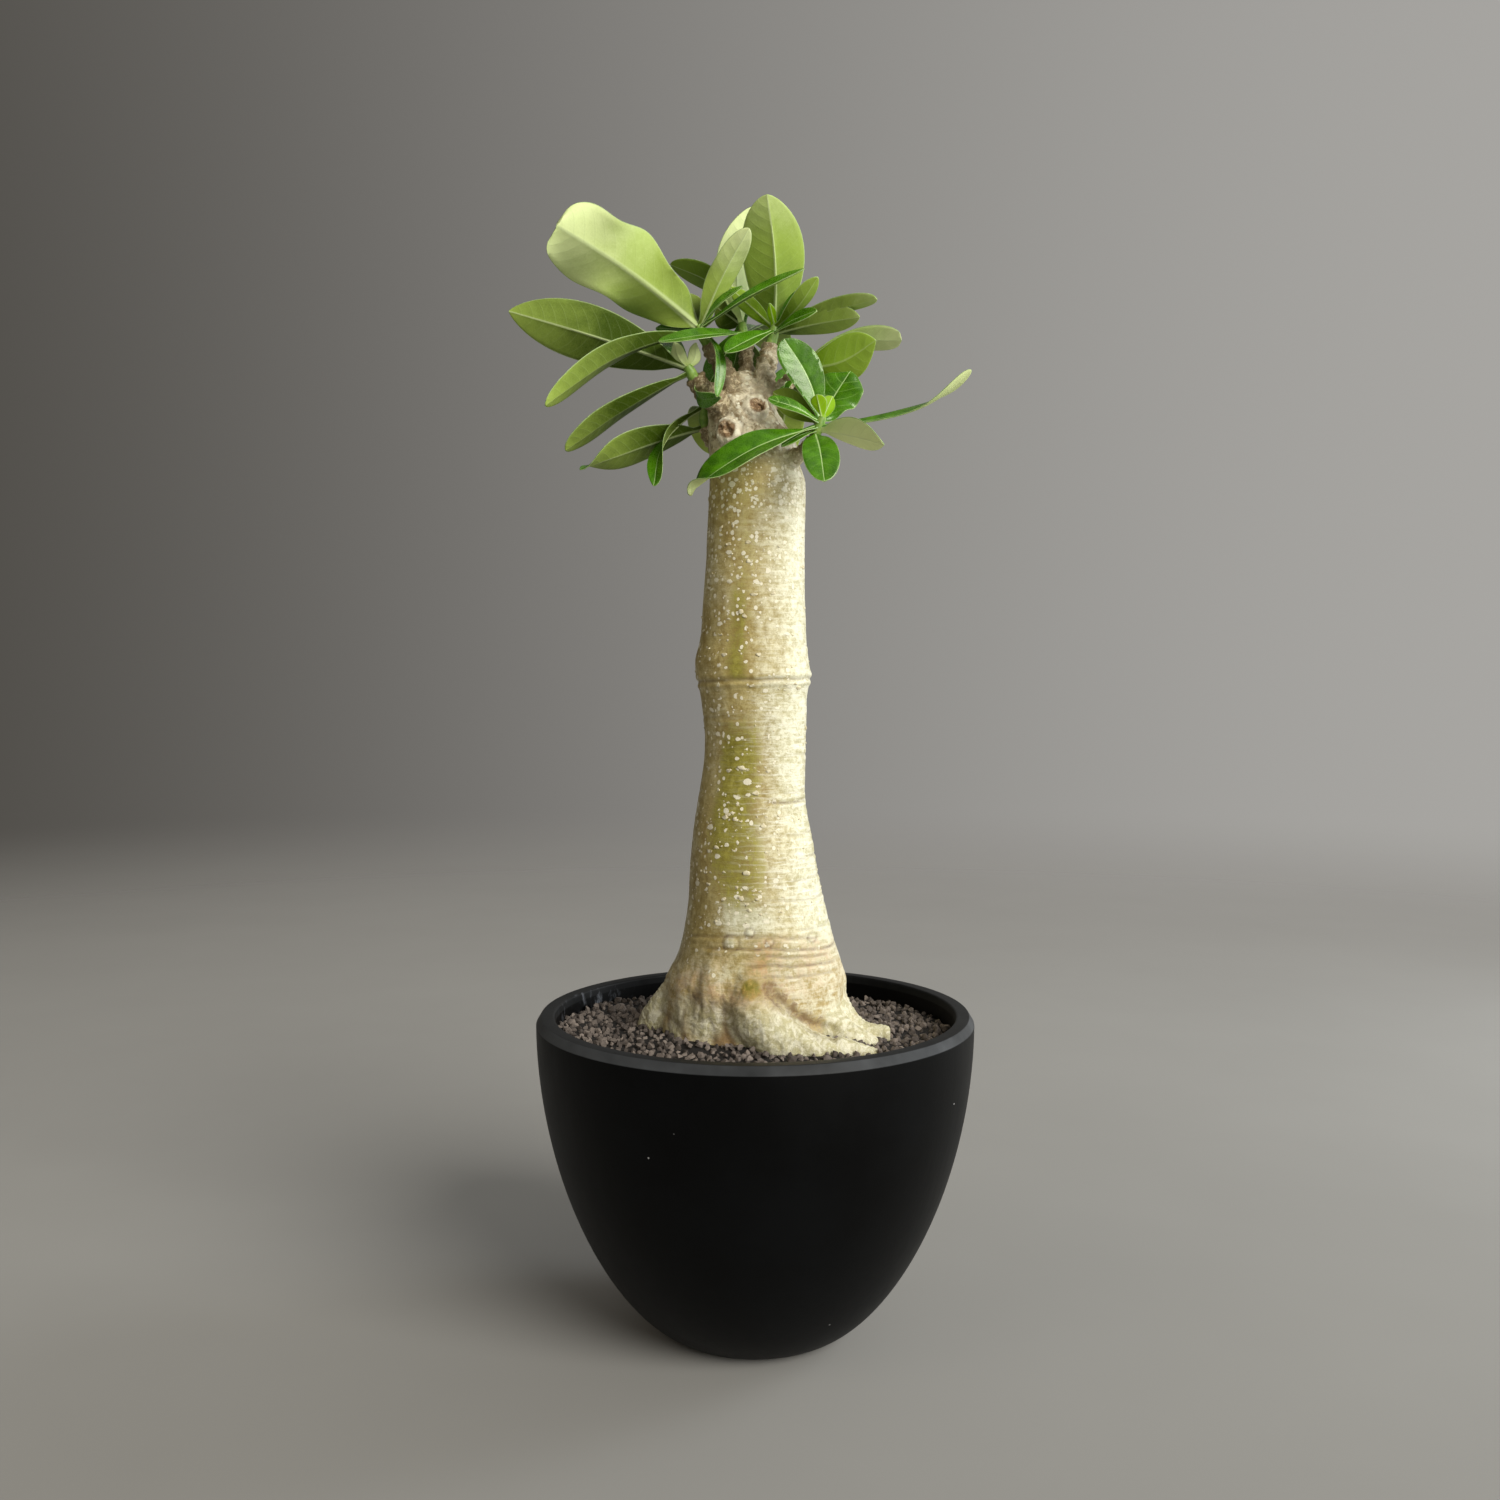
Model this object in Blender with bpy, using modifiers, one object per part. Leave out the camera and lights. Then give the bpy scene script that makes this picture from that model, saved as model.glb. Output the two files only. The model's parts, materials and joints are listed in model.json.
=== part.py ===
"""A potted desert rose: black half-egg pot, gravel, bottle-shaped trunk and seven leafy shoots.

Units are metres. The origin is the centre of the pot's underside, +Z is up, and the side that
the root arm lies on faces -Y. Places on the plant are given in millimetres and scaled by MM.
"""

import math
import random

import bmesh
import bpy
from mathutils import Matrix, Vector

MM = 0.001
GAP = 0.4 * MM

# Pot
POT_HEIGHT = 125 * MM
RIM_RADIUS = 85 * MM
BASE_RADIUS = 30 * MM
RIM_TOP_WIDTH = 5.2 * MM
LIP_HEIGHT = 3.1 * MM
LIP_INSET = 1.9 * MM
WALL = 7.6 * MM
FLOOR = 5 * MM
SIDE_SHARPNESS = 1.9
SIDE_FULLNESS = 0.64
POT_STEPS = 48
WALL_ROWS = 8
ROW_CROWDING = 1.4
LIP_ROUND = 0.4 * MM
EDGE_ROUND = 0.5 * MM
COVE = 3 * MM
DRAIN_HOLES = 5
DRAIN_RADIUS = 4 * MM
DRAIN_CIRCLE = 18 * MM

# Gravel
SOIL_LEVEL = 117 * MM
SOIL_MOUND = 5 * MM
MOUND_RADIUS = 56 * MM
SOIL_TOP = 124 * MM
SOIL_CLEARANCE = 1.2 * MM
GRAIN_SPACING = 8.4 * MM
GRAIN_RELIEF = (1.6 * MM, 2.8 * MM)
GRAIN_JITTER = 1.1 * MM
SOIL_ROWS = 4
SOIL_SEED = 12
ROOT_CLEARANCE = 0.6 * MM

# Trunk: height, sideways centre and half width of each section, mm
TRUNK_SECTIONS = (
    (88, -1, 20), (94, -1, 30), (102, -1, 35), (112, -1, 37.5), (120, -1, 37), (129, -0.5, 36),
    (138, 0.2, 35.2), (146, 1.2, 31.9), (151, 1.2, 30.3), (160, 0.9, 28), (168, 0.5, 26.4),
    (177, -0.3, 25.1), (184, -0.8, 24.4), (192, -1, 23.3), (200, -1.4, 21.9), (208, -1.3, 20.7),
    (216, -0.7, 20), (224, 0, 19.6), (232, 0.1, 19.5), (240, 0, 20), (247, -0.4, 20.5),
    (252, -0.4, 21.2), (255, -0.4, 22.6), (262, -1.3, 22), (270, -0.7, 20.5), (285, -0.4, 19.6),
    (300, 0.2, 19), (315, 0.6, 18.8), (331, 0.9, 18.5), (337, -0.5, 17.5), (347, -1.2, 16.5),
    (352, -3, 14.8), (356, -4.6, 13.4), (362, -5.3, 11.2), (368, -4.8, 8.8), (372, -4.5, 5),
)
TRUNK_DEPTH = 0.95
TRUNK_SIDES = 48
TRUNK_VOXEL = 1.4 * MM
TRUNK_TRIANGLES = 2400

# Roots and branch stubs: (x, y, z, radius) along each, mm
ROOTS = {
    "front arm": ((-1, -18, 147, 9), (-1, -26, 139, 9), (0.5, -31, 129.5, 10.5), (8, -34, 121.5, 9.7),
                  (19, -35, 118.5, 8), (30, -34, 117, 6), (39, -33, 116, 4.2), (48, -31, 114, 2.4),
                  (53, -29, 110, 1.5)),
    "right root": ((12, 0, 140, 15), (26, -3, 127, 11), (36, -8, 119, 6.5), (45, -11, 117.5, 4.2),
                   (52, -12, 118, 3.9)),
    "root web": ((16, -8, 132, 12), (27, -15, 121.5, 8.5), (37, -19, 117, 6.3), (46, -21, 114.5, 4.5)),
    "front lobe": ((-11, -16, 150, 8), (-13, -21, 138, 11), (-14, -20.5, 126, 11), (-15, -18, 112, 10)),
    "left toe": ((-16, -2, 140, 13), (-29, -1, 127, 11), (-38.5, 1, 117.5, 9.5), (-43, 3, 108, 6)),
    "front toe": ((-14, -13, 140, 12), (-22, -15, 126, 9), (-27, -16, 116, 7), (-30, -17, 108, 4)),
    "back left root": ((-8, 20, 142, 12), (-16, 31, 126, 9.5), (-23, 39, 116, 6), (-28, 44, 110, 3.5)),
    "back right root": ((10, 18, 142, 12), (21, 29, 126, 9.5), (31, 36, 117, 6), (41, 42, 112, 3.2)),
}
STUBS = {
    "left stub": ((-9, -4, 353, 5), (-14, -7, 358.5, 4.6), (-19, -10.5, 363, 4.2), (-23, -13, 367.5, 3.6)),
    "left twig": ((-6, -4, 360, 4.6), (-10, -6, 368, 3.7), (-14.5, -8, 375.5, 3), (-18, -8, 380.5, 2.7)),
    "middle stem": ((-4, -1, 360, 4), (-3.4, 0, 370, 3), (-3.4, 0, 377, 2.8), (-4, 0, 382.5, 2.6)),
    "pale stem": ((1, -4, 357, 5.5), (3, -5.5, 367, 4.3), (4.4, -6, 375, 4), (5.8, -5, 382, 3.2)),
    "thin twig": ((1, -5, 357, 2.4), (5, -7, 362, 1.7), (9, -8.5, 365.5, 1.4), (12.5, -8.5, 369, 1.5)),
    "right branch": ((9, -6, 333, 4), (14, -9.5, 337, 3.3), (18, -12.5, 340, 2.9), (21.5, -16, 344, 2.6)),
    "back branch": ((2, 4, 356, 4), (8, 9, 364, 3.2), (13, 12, 370, 2.7), (15.6, 12.9, 373.8, 2.4)),
    "side stub": ((-10, 4, 342, 4), (-15, 5, 345, 3.4), (-18.5, 5, 348.5, 2.8), (-19.8, 5, 352, 2.4)),
}
# Cut scars: the middle of the crater and the way it faces
SCARS = (((-10.7, -13.4, 348), (-0.55, -1, 0.15)), ((0.6, -12.4, 357.2), (0.1, -1, 0.5)))
SCAR_RADIUS = 3.5 * MM
SCAR_RIM = 1.25 * MM
KNOT = ((-9.5, -28, 155.5), 2.6 * MM)

LEAF_THICKNESS = 0.8 * MM
STEM_SIDES = 2
# Half widths of a leaf at its foot and its tip, and the width from which a blade is finer, mm
PETIOLE_HALF = 1.1
TIP_HALF = 0.35
WIDE_LEAF = 14.5
TIP_CROWDING = 1.35
# Share of a leaf that narrows to its foot, and the fold at its foot and its tip
NECK = 0.2
FOLD_FOOT = 1.35
FOLD_TIP = 0.65


def leaf(tip, width, faces, low=1.5, bow=0.0, sway=0.0, fold=12, twist=0, late=2, curl=0.0, nod=0.0,
         form=1.15, point=0.55):
    """One leaf, in mm and degrees.

    tip is where it ends and faces the way its glossy side looks. low is how far under the
    shoot's top it is rooted. bow lifts its middle to the glossy side and sway moves it
    sideways, fold raises both halves, curl turns the margins back, nod bends the tip back and
    twist turns it towards its end, nearer the tip with a larger late. A larger form puts the
    widest place nearer the tip, and a smaller point makes the end blunter.
    """
    return dict(tip=tip, width=width, faces=faces, low=low, bow=bow, sway=sway, fold=fold,
                twist=twist, late=late, curl=curl, nod=nod, form=form, point=point)


SHOOTS = {
    "leafy_shoot_front_right": dict(
        stem=((19.2, -13.6, 341, 1.8), (21.8, -16.2, 344.5, 1.8), (23.6, -17, 348, 2.1),
              (25, -17, 352, 1.5)),
        leaves=(
            leaf((-24, -27, 323), 18, (0, -0.8, 1), low=4, bow=4.5, twist=95, late=9, fold=16,
                 point=0.5),
            leaf((24.6, -38, 326), 13.5, (0, -0.7, 0.7), low=7, bow=3, fold=8, form=0.7, point=0.42),
            leaf((46, -30, 340), 16, (0, 0.6, 0.8), low=5, bow=1, point=0.75),
            leaf((80, -18, 355), 8.6, (0, -0.5, 1), low=4, nod=-14, twist=-95, late=5, fold=10,
                 form=1.1, point=0.5),
            leaf((11, -19, 379.5), 14, (0.09, -0.98, 0.18), low=2, bow=-0.5, sway=2.5, fold=8, form=1.1,
                 point=0.45),
            leaf((36, -4, 371), 20, (-0.2, -1, 0.5), low=2, bow=-2, sway=-1.5, curl=0.2, form=0.9),
            leaf((23, -19, 359), 6, (0.2, 1, 0), low=0.5, form=0.8, point=0.3),
            leaf((28.5, -14, 359.5), 6, (-0.4, 1, 0.1), low=0.5, form=0.8, point=0.35),
            leaf((5.5, -21.5, 357.5), 7.5, (0, -0.8, 0.8), low=2.5, bow=1.5, point=0.4),
            leaf((7.5, -10.5, 362), 10, (0, 1, 0.5), low=2.5),
            leaf((10.5, -23, 340.5), 7, (0, -0.5, 1), low=5.5, bow=1),
        ),
    ),
    "leafy_shoot_centre_right": dict(
        stem=((5.2, -5.4, 378.5, 2.2), (6, -5, 382.5, 2.2), (7, -5, 386, 2.2), (7.6, -5.2, 389, 1.5)),
        leaves=(
            leaf((44.5, -14, 396), 11, (0, 0.35, 1), low=1.5, bow=1, fold=16, point=0.4),
            leaf((38.5, -8, 391), 15, (0, 0.65, 1), low=3.5, bow=1, form=1),
            leaf((4.3, -19, 432), 25, (-0.05, 1, 0.1), low=3, bow=3, sway=-2, fold=22, form=0.75,
                 point=0.55),
            leaf((-9, -2.5, 403), 6.5, (0.1, 1, 0.1), low=1.5, fold=6, form=0.9),
            leaf((-10.5, -21.5, 375), 9.5, (0.2, -0.7, 1), low=2.5, bow=1, fold=14),
            leaf((22.4, -19, 402.3), 9, (-0.3, 0.5, 0.9), low=1.5, bow=-2, fold=16),
            leaf((22, -20, 390), 8, (0, -1, 0.7), low=3.5, bow=1),
            leaf((19, -10, 400.5), 7, (-0.5, -1, 0.4), low=1.5, fold=25),
            leaf((5.5, -11.5, 394.5), 3.4, (0, 1, 0), low=1, fold=6, form=0.9),
        ),
    ),
    "leafy_shoot_centre_left": dict(
        stem=((-16.6, -8.2, 377.5, 1.8), (-18.2, -8, 380.8, 1.8), (-20, -8, 384.5, 2.2),
              (-21.5, -8.5, 388, 1.5)),
        leaves=(
            leaf((-71, -32, 417.5), 29.5, (0, 1, 0.35), low=1.5, bow=4, sway=-1.3, fold=18, nod=2,
                 form=0.55, point=0.24),
            leaf((-73.8, -44, 351.8), 15, (0, 0.5, 1), low=3, bow=3.5, sway=-3.5, fold=20, twist=22,
                 form=1.1),
            leaf((-2.9, -22, 419), 11, (-0.35, 1, 0.1), low=1.5, bow=2, sway=0.5, fold=20, form=0.75,
                 point=0.5),
            leaf((-14.5, -21, 359.5), 5, (0.7, -0.8, 0.1), low=2, bow=5, sway=-1, fold=20, form=1.1,
                 point=0.45),
            leaf((17.4, -15, 406.6), 9, (-0.5, -0.5, 0.8), low=1.5, bow=1, fold=20, form=1.5,
                 point=0.7),
            leaf((-16, -3, 399), 5, (0, 1, 0.2), low=1, form=0.9),
            leaf((-25.5, 1, 401.5), 9, (0, 1, 0.3), low=1.5, form=1),
            leaf((-37, -3, 388), 6, (0, -1, 0.4), low=2, form=1),
            leaf((-5.4, -15, 400), 7, (-0.4, -0.6, 0.8), low=1.5, bow=1.5, fold=16),
        ),
    ),
    "leafy_shoot_left": dict(
        stem=((-21.6, -12.2, 364.6, 2.2), (-23.2, -13, 367.5, 2.1), (-24.4, -13.8, 369.5, 2.3),
              (-25.6, -14.6, 371.5, 1.6)),
        leaves=(
            leaf((-91.5, -12, 392), 22, (0, 1, 0.35), low=1.5, bow=2.5, sway=-0.5, fold=16, form=1.05,
                 point=0.7),
            leaf((-69.5, -22, 339.5), 15, (0, 0.4, 1), low=3, bow=1.5, fold=14, form=1.1, point=0.45),
            leaf((-30, -14, 379.5), 6, (0.3, 1, 0.2), low=0.8, sway=1.2, form=0.8),
            leaf((-22.5, -14.5, 379), 5, (-0.3, 1, 0.2), low=0.8, sway=-1.2, form=0.8),
            leaf((-50, 20, 386), 20, (0, -0.4, 1), low=2.5, bow=5),
        ),
    ),
    "leafy_shoot_centre_back": dict(
        stem=((-3.8, 0, 379, 1.7), (-4, 0, 382.8, 1.7), (-4.6, 0.4, 387, 2.1), (-5, 1, 391, 1.5)),
        leaves=(
            leaf((-1.5, 3, 434.5), 16, (-0.55, 1, -0.1), low=1.5, bow=2, sway=3.5, fold=14, form=0.8,
                 point=0.6),
            leaf((-32.5, 14, 416.5), 14, (0, 0.6, 1), low=1, bow=6, fold=10),
            leaf((-34.6, -25, 378), 11, (0, -0.7, 1), low=4.5, bow=3, sway=-6),
            leaf((-11, 26, 409), 17, (0, -0.7, 1), low=2.5, bow=3),
            leaf((-2, 20, 412), 10, (0, -1, 0.6), low=1.5, bow=2),
            leaf((-14.5, 4, 397.5), 12, (0.2, 1, 0.2), low=1, bow=1),
            leaf((-18, 11, 370), 11, (0.2, -1, 0.4), low=0.5, form=1.3),
            leaf((-3, 44, 364), 20, (0, 0.4, 1), low=4, bow=2),
            leaf((9, 55, 391), 19, (0, -0.1, 1), low=5, bow=7),
        ),
    ),
    "leafy_shoot_low_left": dict(
        stem=((-19, 5, 349.2, 1.7), (-20, 5, 352.5, 1.7), (-20, 4, 356.5, 2), (-19.4, 3, 361, 1.5)),
        leaves=(
            leaf((-65.5, -10, 334), 17, (0, 0.9, 1), low=9.5, bow=1, fold=10, twist=-80, late=8, form=1,
                 point=0.65),
            leaf((-38, -10, 328.2), 10, (-0.7, 0.3, 0.6), low=1.5, bow=6, twist=-85, fold=20),
            leaf((-18, 50, 349), 18, (0, 0.4, 1), low=3, bow=8),
        ),
    ),
    "leafy_shoot_back_right": dict(
        stem=((14.4, 12.4, 371.8, 1.6), (16, 13, 374.6, 1.6), (17.4, 13.2, 377, 2),
              (18.6, 13.4, 379.5, 1.4)),
        leaves=(
            leaf((56.5, 20, 390), 14, (0, 0.6, 1), low=1.5, bow=4, nod=2, point=0.3),
            leaf((46, 8, 385.8), 18, (0, 1, 0.4), low=3, bow=1, sway=-3.5, point=0.7),
            leaf((7.6, 2, 368), 6, (0, -1, 0.4), low=2.5, bow=1),
            leaf((10.5, 1, 364.5), 7, (0.3, 0.5, 1), low=2.8, bow=2),
            leaf((32, 50, 378), 18, (0, -0.2, 1), low=3, bow=6),
            leaf((10, 55, 345), 18, (0, 0.4, 1), low=4, bow=9),
        ),
    ),
}


def clear_scene():
    for obj in list(bpy.data.objects):
        bpy.data.objects.remove(obj, do_unlink=True)


def new_collection(name):
    collection = bpy.data.collections.new(name)
    bpy.context.scene.collection.children.link(collection)
    return collection


def material(name, colour, roughness, metallic=0.0):
    made = bpy.data.materials.new(name)
    made.use_nodes = True
    shader = made.node_tree.nodes["Principled BSDF"]
    shader.inputs["Base Color"].default_value = (*colour, 1)
    shader.inputs["Roughness"].default_value = roughness
    shader.inputs["Metallic"].default_value = metallic
    return made


def add_object(name, mesh, collection):
    obj = bpy.data.objects.new(name, mesh)
    collection.objects.link(obj)
    return obj


def mesh_from(bm, name):
    mesh = bpy.data.meshes.new(name)
    bm.to_mesh(mesh)
    bm.free()
    return mesh


def baked(obj):
    """Applies the object's modifiers, in place."""
    bpy.context.view_layer.update()
    graph = bpy.context.evaluated_depsgraph_get()
    mesh = bpy.data.meshes.new_from_object(obj.evaluated_get(graph))
    obj.modifiers.clear()
    obj.data = mesh
    return obj


def boolean(obj, other, operation, solver="EXACT"):
    """Cuts or joins obj by an object or by a collection of them, and removes the operands."""
    cut = obj.modifiers.new(operation.lower(), "BOOLEAN")
    cut.operation = operation
    cut.solver = solver
    if isinstance(other, bpy.types.Collection):
        cut.operand_type = "COLLECTION"
        cut.collection = other
        operands = list(other.objects)
    else:
        cut.object = other
        operands = [other]
    baked(obj)
    for operand in operands:
        bpy.data.objects.remove(operand, do_unlink=True)
    return obj


def tube(name, points, collection, extra=0.0, sides=3):
    """A closed limb through (x, y, z, radius) points in mm, with its radii made larger by extra."""
    data = bpy.data.curves.new(name, "CURVE")
    data.dimensions = "3D"
    data.bevel_depth = 1.0
    data.bevel_resolution = sides
    data.use_fill_caps = True
    data.resolution_u = 3
    spline = data.splines.new("NURBS")
    spline.points.add(len(points) - 1)
    for point, (x, y, z, radius) in zip(spline.points, points):
        point.co = (x * MM, y * MM, z * MM, 1)
        point.radius = radius * MM + extra
    spline.order_u = 3
    spline.use_endpoint_u = True
    curve = bpy.data.objects.new(name, data)
    collection.objects.link(curve)
    bpy.context.view_layer.update()
    graph = bpy.context.evaluated_depsgraph_get()
    mesh = bpy.data.meshes.new_from_object(curve.evaluated_get(graph))
    bpy.data.objects.remove(curve, do_unlink=True)
    bm = bmesh.new()
    bm.from_mesh(mesh)
    bmesh.ops.remove_doubles(bm, verts=bm.verts, dist=0.01 * MM)
    bmesh.ops.recalc_face_normals(bm, faces=bm.faces)
    bm.to_mesh(mesh)
    bm.free()
    return add_object(name, mesh, collection)


def turned(name, profile, collection, steps=POT_STEPS):
    """A solid of revolution from (radius, height) points, from the axis out and back to it."""
    bm = bmesh.new()
    verts = [bm.verts.new((radius, 0, height)) for radius, height in profile]
    for first, second in zip(verts, verts[1:]):
        bm.edges.new((first, second))
    obj = add_object(name, mesh_from(bm, name), collection)
    screw = obj.modifiers.new("turn", "SCREW")
    screw.axis = "Z"
    screw.steps = steps
    screw.render_steps = steps
    screw.use_merge_vertices = True
    screw.merge_threshold = 0.00005
    return baked(obj)


def pot_radius(height):
    """Outer radius of the half-egg wall."""
    share = min(height / (POT_HEIGHT - LIP_HEIGHT), 1)
    return BASE_RADIUS + (RIM_RADIUS - BASE_RADIUS) * (1 - (1 - share) ** SIDE_SHARPNESS) ** SIDE_FULLNESS


def cavity_radius(height):
    return pot_radius(height) - WALL


def make_pot(parts, helpers):
    wall_height = POT_HEIGHT - LIP_HEIGHT
    heights = [wall_height * (row / WALL_ROWS) ** ROW_CROWDING for row in range(WALL_ROWS + 1)]
    outside = [(0, 0), (BASE_RADIUS - EDGE_ROUND, 0), (BASE_RADIUS, EDGE_ROUND)]
    outside += [(pot_radius(h), h) for h in heights[1:]]
    lip_top = RIM_RADIUS - LIP_INSET
    outside += [(lip_top + LIP_ROUND / 2, POT_HEIGHT - LIP_ROUND), (lip_top, POT_HEIGHT)]
    inner_edge = lip_top - RIM_TOP_WIDTH
    inside = [(inner_edge, POT_HEIGHT), (inner_edge - EDGE_ROUND, POT_HEIGHT - EDGE_ROUND)]
    inside += [(cavity_radius(h), h) for h in reversed(heights[:-1]) if h > FLOOR + COVE]
    inside += [(cavity_radius(FLOOR + COVE) - COVE, FLOOR), (0, FLOOR)]
    pot = turned("pot", list(reversed(outside + inside)), parts)
    for number in range(DRAIN_HOLES):
        angle = 2 * math.pi * number / DRAIN_HOLES
        bm = bmesh.new()
        x, y = DRAIN_CIRCLE * math.cos(angle), DRAIN_CIRCLE * math.sin(angle)
        bmesh.ops.create_cone(bm, cap_ends=True, segments=14, radius1=DRAIN_RADIUS,
                              radius2=DRAIN_RADIUS, depth=FLOOR * 3,
                              matrix=Matrix.Translation((x, y, FLOOR / 2)))
        add_object("drain cutter", mesh_from(bm, "drain cutter"), helpers)
    return boolean(pot, helpers, "DIFFERENCE")


def trunk_body(collection):
    """The closed loft through TRUNK_SECTIONS, with both ends capped."""
    bm = bmesh.new()
    rings = []
    for height, centre, half in TRUNK_SECTIONS:
        ring = []
        for side in range(TRUNK_SIDES):
            angle = 2 * math.pi * side / TRUNK_SIDES
            x = centre + half * math.cos(angle)
            y = half * TRUNK_DEPTH * math.sin(angle)
            ring.append(bm.verts.new(Vector((x, y, height)) * MM))
        rings.append(ring)
    for lower, upper in zip(rings, rings[1:]):
        for side in range(TRUNK_SIDES):
            after = (side + 1) % TRUNK_SIDES
            bm.faces.new((lower[side], lower[after], upper[after], upper[side]))
    bm.faces.new(reversed(rings[0]))
    bm.faces.new(rings[-1])
    return add_object("trunk body", mesh_from(bm, "trunk body"), collection)


def scar_ring(place, faces, collection):
    """The raised bark rim round a cut scar."""
    bpy.ops.mesh.primitive_torus_add(major_radius=SCAR_RADIUS, minor_radius=SCAR_RIM,
                                     major_segments=20, minor_segments=8)
    ring = bpy.context.active_object
    turn = Vector(faces).to_track_quat("Z", "Y").to_matrix().to_4x4()
    ring.data.transform(Matrix.Translation(Vector(place) * MM) @ turn)
    mesh = ring.data
    bpy.data.objects.remove(ring, do_unlink=True)
    return add_object("scar", mesh, collection)


def knot(collection):
    place, radius = KNOT
    bm = bmesh.new()
    bmesh.ops.create_uvsphere(bm, u_segments=16, v_segments=8, radius=radius,
                              matrix=Matrix.Translation(Vector(place) * MM))
    return add_object("knot", mesh_from(bm, "knot"), collection)


def joined(name, objects, collection):
    bm = bmesh.new()
    for obj in objects:
        bm.from_mesh(obj.data)
        bpy.data.objects.remove(obj, do_unlink=True)
    return add_object(name, mesh_from(bm, name), collection)


def without_scraps(obj):
    """Keeps the largest body and drops the slivers that a cut leaves loose."""
    bm = bmesh.new()
    bm.from_mesh(obj.data)
    left = set(bm.verts)
    bodies = []
    while left:
        body = set()
        reached = [left.pop()]
        while reached:
            vert = reached.pop()
            body.add(vert)
            around = {edge.other_vert(vert) for edge in vert.link_edges} & left
            left -= around
            reached.extend(around)
        bodies.append(body)
    largest = max(bodies, key=len)
    bmesh.ops.delete(bm, geom=[vert for vert in bm.verts if vert not in largest], context="VERTS")
    bm.to_mesh(obj.data)
    bm.free()
    return obj


def deepened(stem):
    """The stem's points with the first one moved back by the gap, for the socket it stands in."""
    first, second = Vector(stem[0][:3]), Vector(stem[1][:3])
    start = first + (first - second).normalized() * (GAP / MM)
    return ((*start, stem[0][3]), *stem[1:])


def make_trunk(parts, helpers):
    """The body, roots, stubs and scars blended into one skin, then bored for the green shoots."""
    pieces = [trunk_body(helpers)]
    for name, points in (ROOTS | STUBS).items():
        pieces.append(tube(name, points, helpers, sides=5))
    pieces += [scar_ring(place, faces, helpers) for place, faces in SCARS]
    pieces.append(knot(helpers))
    trunk = joined("trunk_and_roots", pieces, parts)
    skin = trunk.modifiers.new("blend", "REMESH")
    skin.mode = "VOXEL"
    skin.voxel_size = TRUNK_VOXEL
    soften = trunk.modifiers.new("soften", "SMOOTH")
    soften.factor = 0.5
    soften.iterations = 3
    baked(trunk)
    thin = trunk.modifiers.new("thin", "DECIMATE")
    thin.ratio = TRUNK_TRIANGLES / (2 * len(trunk.data.polygons))
    thin.use_collapse_triangulate = True
    baked(trunk)
    for name, shoot in SHOOTS.items():
        tube(name + " socket", deepened(shoot["stem"]), helpers, extra=GAP, sides=STEM_SIDES)
    return without_scraps(boolean(trunk, helpers, "DIFFERENCE"))


def inflated(obj, collection):
    """A copy of obj with each point moved outwards by the gap, to bore the soil with."""
    copy = add_object("bore", obj.data.copy(), collection)
    swell = copy.modifiers.new("swell", "DISPLACE")
    swell.mid_level = 0
    swell.strength = ROOT_CLEARANCE
    return baked(copy)


def gravel_sheet(collection):
    """A block whose top is a lattice of six-sided grains, each a low, jittered peak."""
    random.seed(SOIL_SEED)
    bm = bmesh.new()
    reach = RIM_RADIUS + GRAIN_SPACING
    rows = int(reach / GRAIN_SPACING) + 2
    cell = GRAIN_SPACING / math.sqrt(3)
    for row in range(-rows, rows + 1):
        for column in range(-rows, rows + 1):
            x = GRAIN_SPACING * (column + 0.5 * (row % 2))
            y = GRAIN_SPACING * row * math.sqrt(3) / 2
            if math.hypot(x, y) > reach:
                continue
            peak = bm.verts.new((x, y, random.uniform(*GRAIN_RELIEF)))
            corners = []
            for corner in range(6):
                angle = math.pi * (2 * corner + 1) / 6
                corners.append(bm.verts.new((x + cell * math.cos(angle), y + cell * math.sin(angle), 0)))
            for corner in range(6):
                bm.faces.new((peak, corners[corner], corners[(corner + 1) % 6]))
    bmesh.ops.remove_doubles(bm, verts=bm.verts, dist=0.1 * MM)
    for vert in bm.verts:
        mound = SOIL_MOUND * max(0, 1 - (math.hypot(vert.co.x, vert.co.y) / MOUND_RADIUS) ** 2)
        jitter = [random.uniform(-GRAIN_JITTER, GRAIN_JITTER) for _ in range(3)]
        vert.co += Vector((jitter[0], jitter[1], SOIL_LEVEL + mound + jitter[2] / 3))
    edges = [edge for edge in bm.edges if edge.is_boundary]
    skirt = bmesh.ops.extrude_edge_only(bm, edges=edges)["geom"]
    for vert in (item for item in skirt if isinstance(item, bmesh.types.BMVert)):
        vert.co.z = -POT_HEIGHT
    bmesh.ops.holes_fill(bm, edges=[edge for edge in bm.edges if edge.is_boundary])
    bmesh.ops.recalc_face_normals(bm, faces=bm.faces)
    return add_object("gravel relief", mesh_from(bm, "gravel relief"), collection)


def make_soil(parts, helpers, trunk):
    bottom = FLOOR + GAP
    foot = bottom + 2 * COVE
    heights = [foot + (SOIL_TOP - foot) * row / SOIL_ROWS for row in range(SOIL_ROWS + 1)]
    wall = [(cavity_radius(h) - SOIL_CLEARANCE, h) for h in heights]
    base = (cavity_radius(bottom + COVE) - COVE - SOIL_CLEARANCE, bottom)
    profile = [(0, bottom), base] + wall + [(0, SOIL_TOP)]
    soil = turned("soil", list(reversed(profile)), parts)
    boolean(soil, gravel_sheet(helpers), "INTERSECT")
    return boolean(soil, inflated(trunk, helpers), "DIFFERENCE")


def point_below_top(stem, low):
    """The point on the stem's axis that lies low mm under its top end."""
    left = low
    for upper, lower in zip(reversed(stem), reversed(stem[:-1])):
        start = Vector(upper[:3])
        run = Vector(lower[:3]) - start
        if run.length >= left:
            return start + run * (left / run.length)
        left -= run.length
    return Vector(stem[0][:3])


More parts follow.
